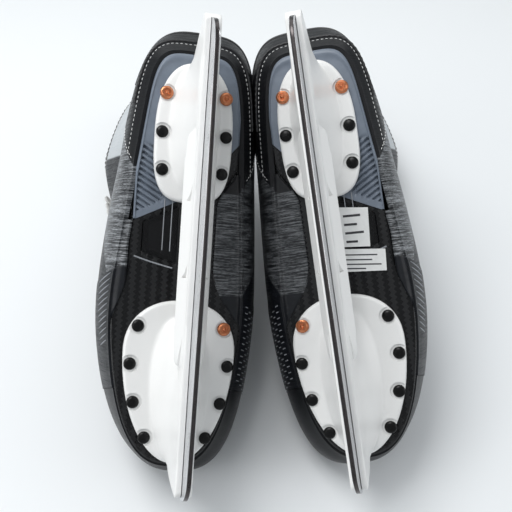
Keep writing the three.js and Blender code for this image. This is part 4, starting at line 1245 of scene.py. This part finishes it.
def lace_path():
    """Criss-cross from the lowest holes up, under the facing and out of each hole, then loops outside."""
    def half(side):
        path = [facing_point(side * hole_x(LACE_ROWS[0]), LACE_ROWS[0], lift) for lift in (UNDER, OVER)]
        for row in range(HOLES - 1):
            near = side * (-1) ** row
            low, high = LACE_ROWS[row], LACE_ROWS[row + 1]
            crossing = (0.9, -2.6)[(row + (0 if side > 0 else 1)) % 2]
            at = lambda t: lerp(low, high, t)
            path += [facing_point(near * (hole_x(at(0.2)) - HOLE_EDGE - 1), at(0.2), OVER),
                     facing_point(0.0, at(0.5), crossing),
                     facing_point(-near * (hole_x(at(0.8)) - HOLE_EDGE - 1), at(0.8), UNDER),
                     facing_point(-near * hole_x(high), high, UNDER),
                     facing_point(-near * hole_x(high), high, OVER)]
        return path
    loops = []
    for i in range(3):
        up = LAST_ROW - 1 - i * 7
        near, far = hole_x(up) + 5, float(section_at(np.array(up))[3]) - 4
        loops += [facing_point(near, up, OVER + 0.6), facing_point(far, up, OVER + 2.2),
                  facing_point(far, up - 3.5, OVER + 2.2), facing_point(near, up - 3.5, OVER + 0.6)]
    outer = half(-1) + loops
    inner = half(1)[:-1]
    bar = [facing_point(x, LACE_ROWS[0], UNDER) for x in (-8.0, 0.0, 8.0)]
    return np.array(outer[::-1] + bar + inner)


def lace():
    """Flat braid: an ellipse carried along rounded turns of the path."""
    path = lace_path()
    fine = even(path, 0.9)
    for _ in range(3):
        fine[1:-1] = (fine[:-2] + 2 * fine[1:-1] + fine[2:]) / 4
    centre = np.array([0.0, np.mean(fine[:, 1]) - 60, 60.0])
    return tube(rings_along(fine, unit(fine - centre), 1.55, 0.95, 12))


def eyelets():
    """Rolled rings set in the facing round each hole."""
    parts = []
    turn = np.linspace(0, 2 * math.pi, 28, endpoint=False)
    roll = np.linspace(0, 2 * math.pi, 9, endpoint=False)
    for up in LACE_ROWS:
        for side in (1, -1):
            x = side * hole_x(up)
            centre, out = facing_point(x, up, 0.3), unit(facing_point(x, up, 1.0) - facing_point(x, up, 0))
            first = unit(np.cross(out, [1.0, 0, 0]))
            second = np.cross(out, first)
            spoke = np.cos(turn)[:, None] * first + np.sin(turn)[:, None] * second
            ring = (centre + spoke[:, None] * (2.9 + 0.75 * np.cos(roll))[None, :, None]
                    + out * (0.55 * np.sin(roll))[None, :, None])
            parts.append(tube(ring, True))
    return joined(parts)


both("lace", lace(), LACE, "lace", replaces=["lace"], sharp=60)
both("eyelets", eyelets(), BLACK_RIVET, "boot_shell")

# ---- pieces kept from the CAD ---------------------------------------------------------------------
for name, node in nodes.items():
    kept = ZINC if "blade_bolt" in name else BED_CLOTH if "footbed" in name else None
    if kept:
        node.data.materials.clear()
        node.data.materials.append(kept)

# ---- stickers on the right skate's outsole ----------------------------------------------------------
PAPER = Finish("sticker_paper", (0.80, 0.81, 0.80), Roughness=0.55)
PAPER.set("Base Color", PAPER.mix(PAPER.noise(PAPER.last(), 0.4, 3), (0.72, 0.73, 0.72), (0.84, 0.85, 0.84)))
PAPER.bump(PAPER.noise(PAPER.last(), 1.5, 3), 0.00006, 0.4)
INK = Finish("sticker_ink", (0.03, 0.03, 0.035), Roughness=0.5)
INK.set("Base Color", INK.mix(INK.noise(INK.last(), 1.0, 2), (0.02, 0.02, 0.025), (0.05, 0.05, 0.055)))


def flat_patch(corners, low, high, rows=10):
    """Thin four-sided patch on the sole between two heights, from corners in plan."""
    a, b, c, d = (np.array(p, float) for p in corners)
    u, v = np.meshgrid(np.linspace(0, 1, rows), np.linspace(0, 1, rows))
    plan = ((1 - u) * (1 - v))[..., None] * a + (u * (1 - v))[..., None] * b \
        + (u * v)[..., None] * c + ((1 - u) * v)[..., None] * d
    return slab(np.concatenate([plan, np.full((rows, rows, 1), low)], -1),
                np.concatenate([plan, np.full((rows, rows, 1), high)], -1))


piece("sticker_upper", "right", flat_patch([(6, -36), (27, -33), (25, -6), (6, -8)], -0.75, -0.55),
      PAPER.material, "outsole")
piece("sticker_lower", "right", flat_patch([(2, -7), (35, -3), (34, 12), (1, 9)], -1.0, -0.8),
      PAPER.material, "outsole")


def printed_bar(x, y, width, rise, high, top):
    """Blank bar in place of a line of print; it rises along its width."""
    corners = [(x, y), (x + width, y + rise), (x + width, y + rise + high), (x, y + high)]
    return flat_patch(corners, top - 0.09, top, 2)


bars = [printed_bar(9, y, width, 0.6, 1.6, -0.74) for y, width in ((-30, 12), (-24, 9), (-18, 13), (-12, 8))]
bars += [printed_bar(5, y, width, width * 0.12, 0.9, -0.99)
         for y, width in ((-3, 24), (0.4, 20), (3.6, 26), (6.6, 15))]
piece("sticker_print", "right", joined(bars), INK.material, "outsole")

# ---- floor, light and camera ----------------------------------------------------------------------
floor_mesh = bpy.data.meshes.new("floor")
turns = np.linspace(-math.pi / 2, 0, 12)
profile = [(-3.0, 0.0), (1.1, 0.0)] + [(1.1 + 0.6 * math.cos(a), 0.6 + 0.6 * math.sin(a)) for a in turns[1:]]
profile.append((1.7, 3.2))
floor_mesh.from_pydata([(x, y, z) for y, z in profile for x in (-4.0, 4.0)], [],
                       [(2 * i, 2 * i + 1, 2 * i + 3, 2 * i + 2) for i in range(len(profile) - 1)])
floor_mesh.polygons.foreach_set("use_smooth", [True] * len(floor_mesh.polygons))
floor = bpy.data.objects.new("floor", floor_mesh)
bpy.context.scene.collection.objects.link(floor)
FLOOR = Finish("floor_paper", (0.80, 0.83, 0.85), Roughness=0.6)
place = FLOOR.node("ShaderNodeTexCoord", out=3)
# Painted shade: the floor is painted darker towards the back, where the studio light falls off.
away = FLOOR.split(place)[1].step(0.10, 0.75)
near = FLOOR.mix(FLOOR.noise(place, 0.7, 2), (0.80, 0.825, 0.84), (0.83, 0.85, 0.86))
FLOOR.set("Base Color", FLOOR.mix(away, near, (0.52, 0.545, 0.55)))
floor_mesh.materials.append(FLOOR.material)


def aimed(place, aim):
    """Matrix of a light or camera at place that looks at aim, with its right side level."""
    z = unit(np.array(place) - np.array(aim))
    x = unit(np.cross([0, 0, 1.0], z))
    return Matrix([[x[k], np.cross(z, x)[k], z[k], place[k]] for k in range(3)] + [[0, 0, 0, 1]])


def area_light(name, place, aim, size, power):
    light = bpy.data.lights.new(name, "AREA")
    light.shape, light.size, light.size_y = "RECTANGLE", *size
    light.energy = power
    made = bpy.data.objects.new(name, light)
    bpy.context.scene.collection.objects.link(made)
    made.matrix_world = aimed(place, aim)


area_light("top_soft", (-0.5, 0.35, 1.5), (0, 0, 0.12), (0.8, 0.8), 15)
area_light("left_soft", (-1.3, -0.4, 0.7), (0, -0.02, 0.12), (0.7, 1.0), 5)
area_light("right_soft", (1.3, -0.3, 0.7), (0, -0.02, 0.12), (0.7, 1.0), 4)
area_light("back_soft", (0.0, 1.1, 0.9), (0, 0.1, 0.15), (1.6, 0.8), 5)

world = bpy.data.worlds.new("studio")
bpy.context.scene.world = world
world.use_nodes = True
world.node_tree.nodes["Background"].inputs["Color"].default_value = (0.92, 0.96, 1.0, 1)
world.node_tree.nodes["Background"].inputs["Strength"].default_value = 0.46

camera_data = bpy.data.cameras.new("camera")
camera_data.lens, camera_data.sensor_width = 59.77, 36
camera = bpy.data.objects.new("camera", camera_data)
bpy.context.scene.collection.objects.link(camera)
camera.matrix_world = aimed((-0.017, -0.3555, 0.6268), (-0.0025, -0.0278, 0.1007))
camera_data.clip_start, camera_data.clip_end = 0.01, 20
bpy.context.scene.camera = camera
bpy.context.scene.view_settings.view_transform = "Standard"
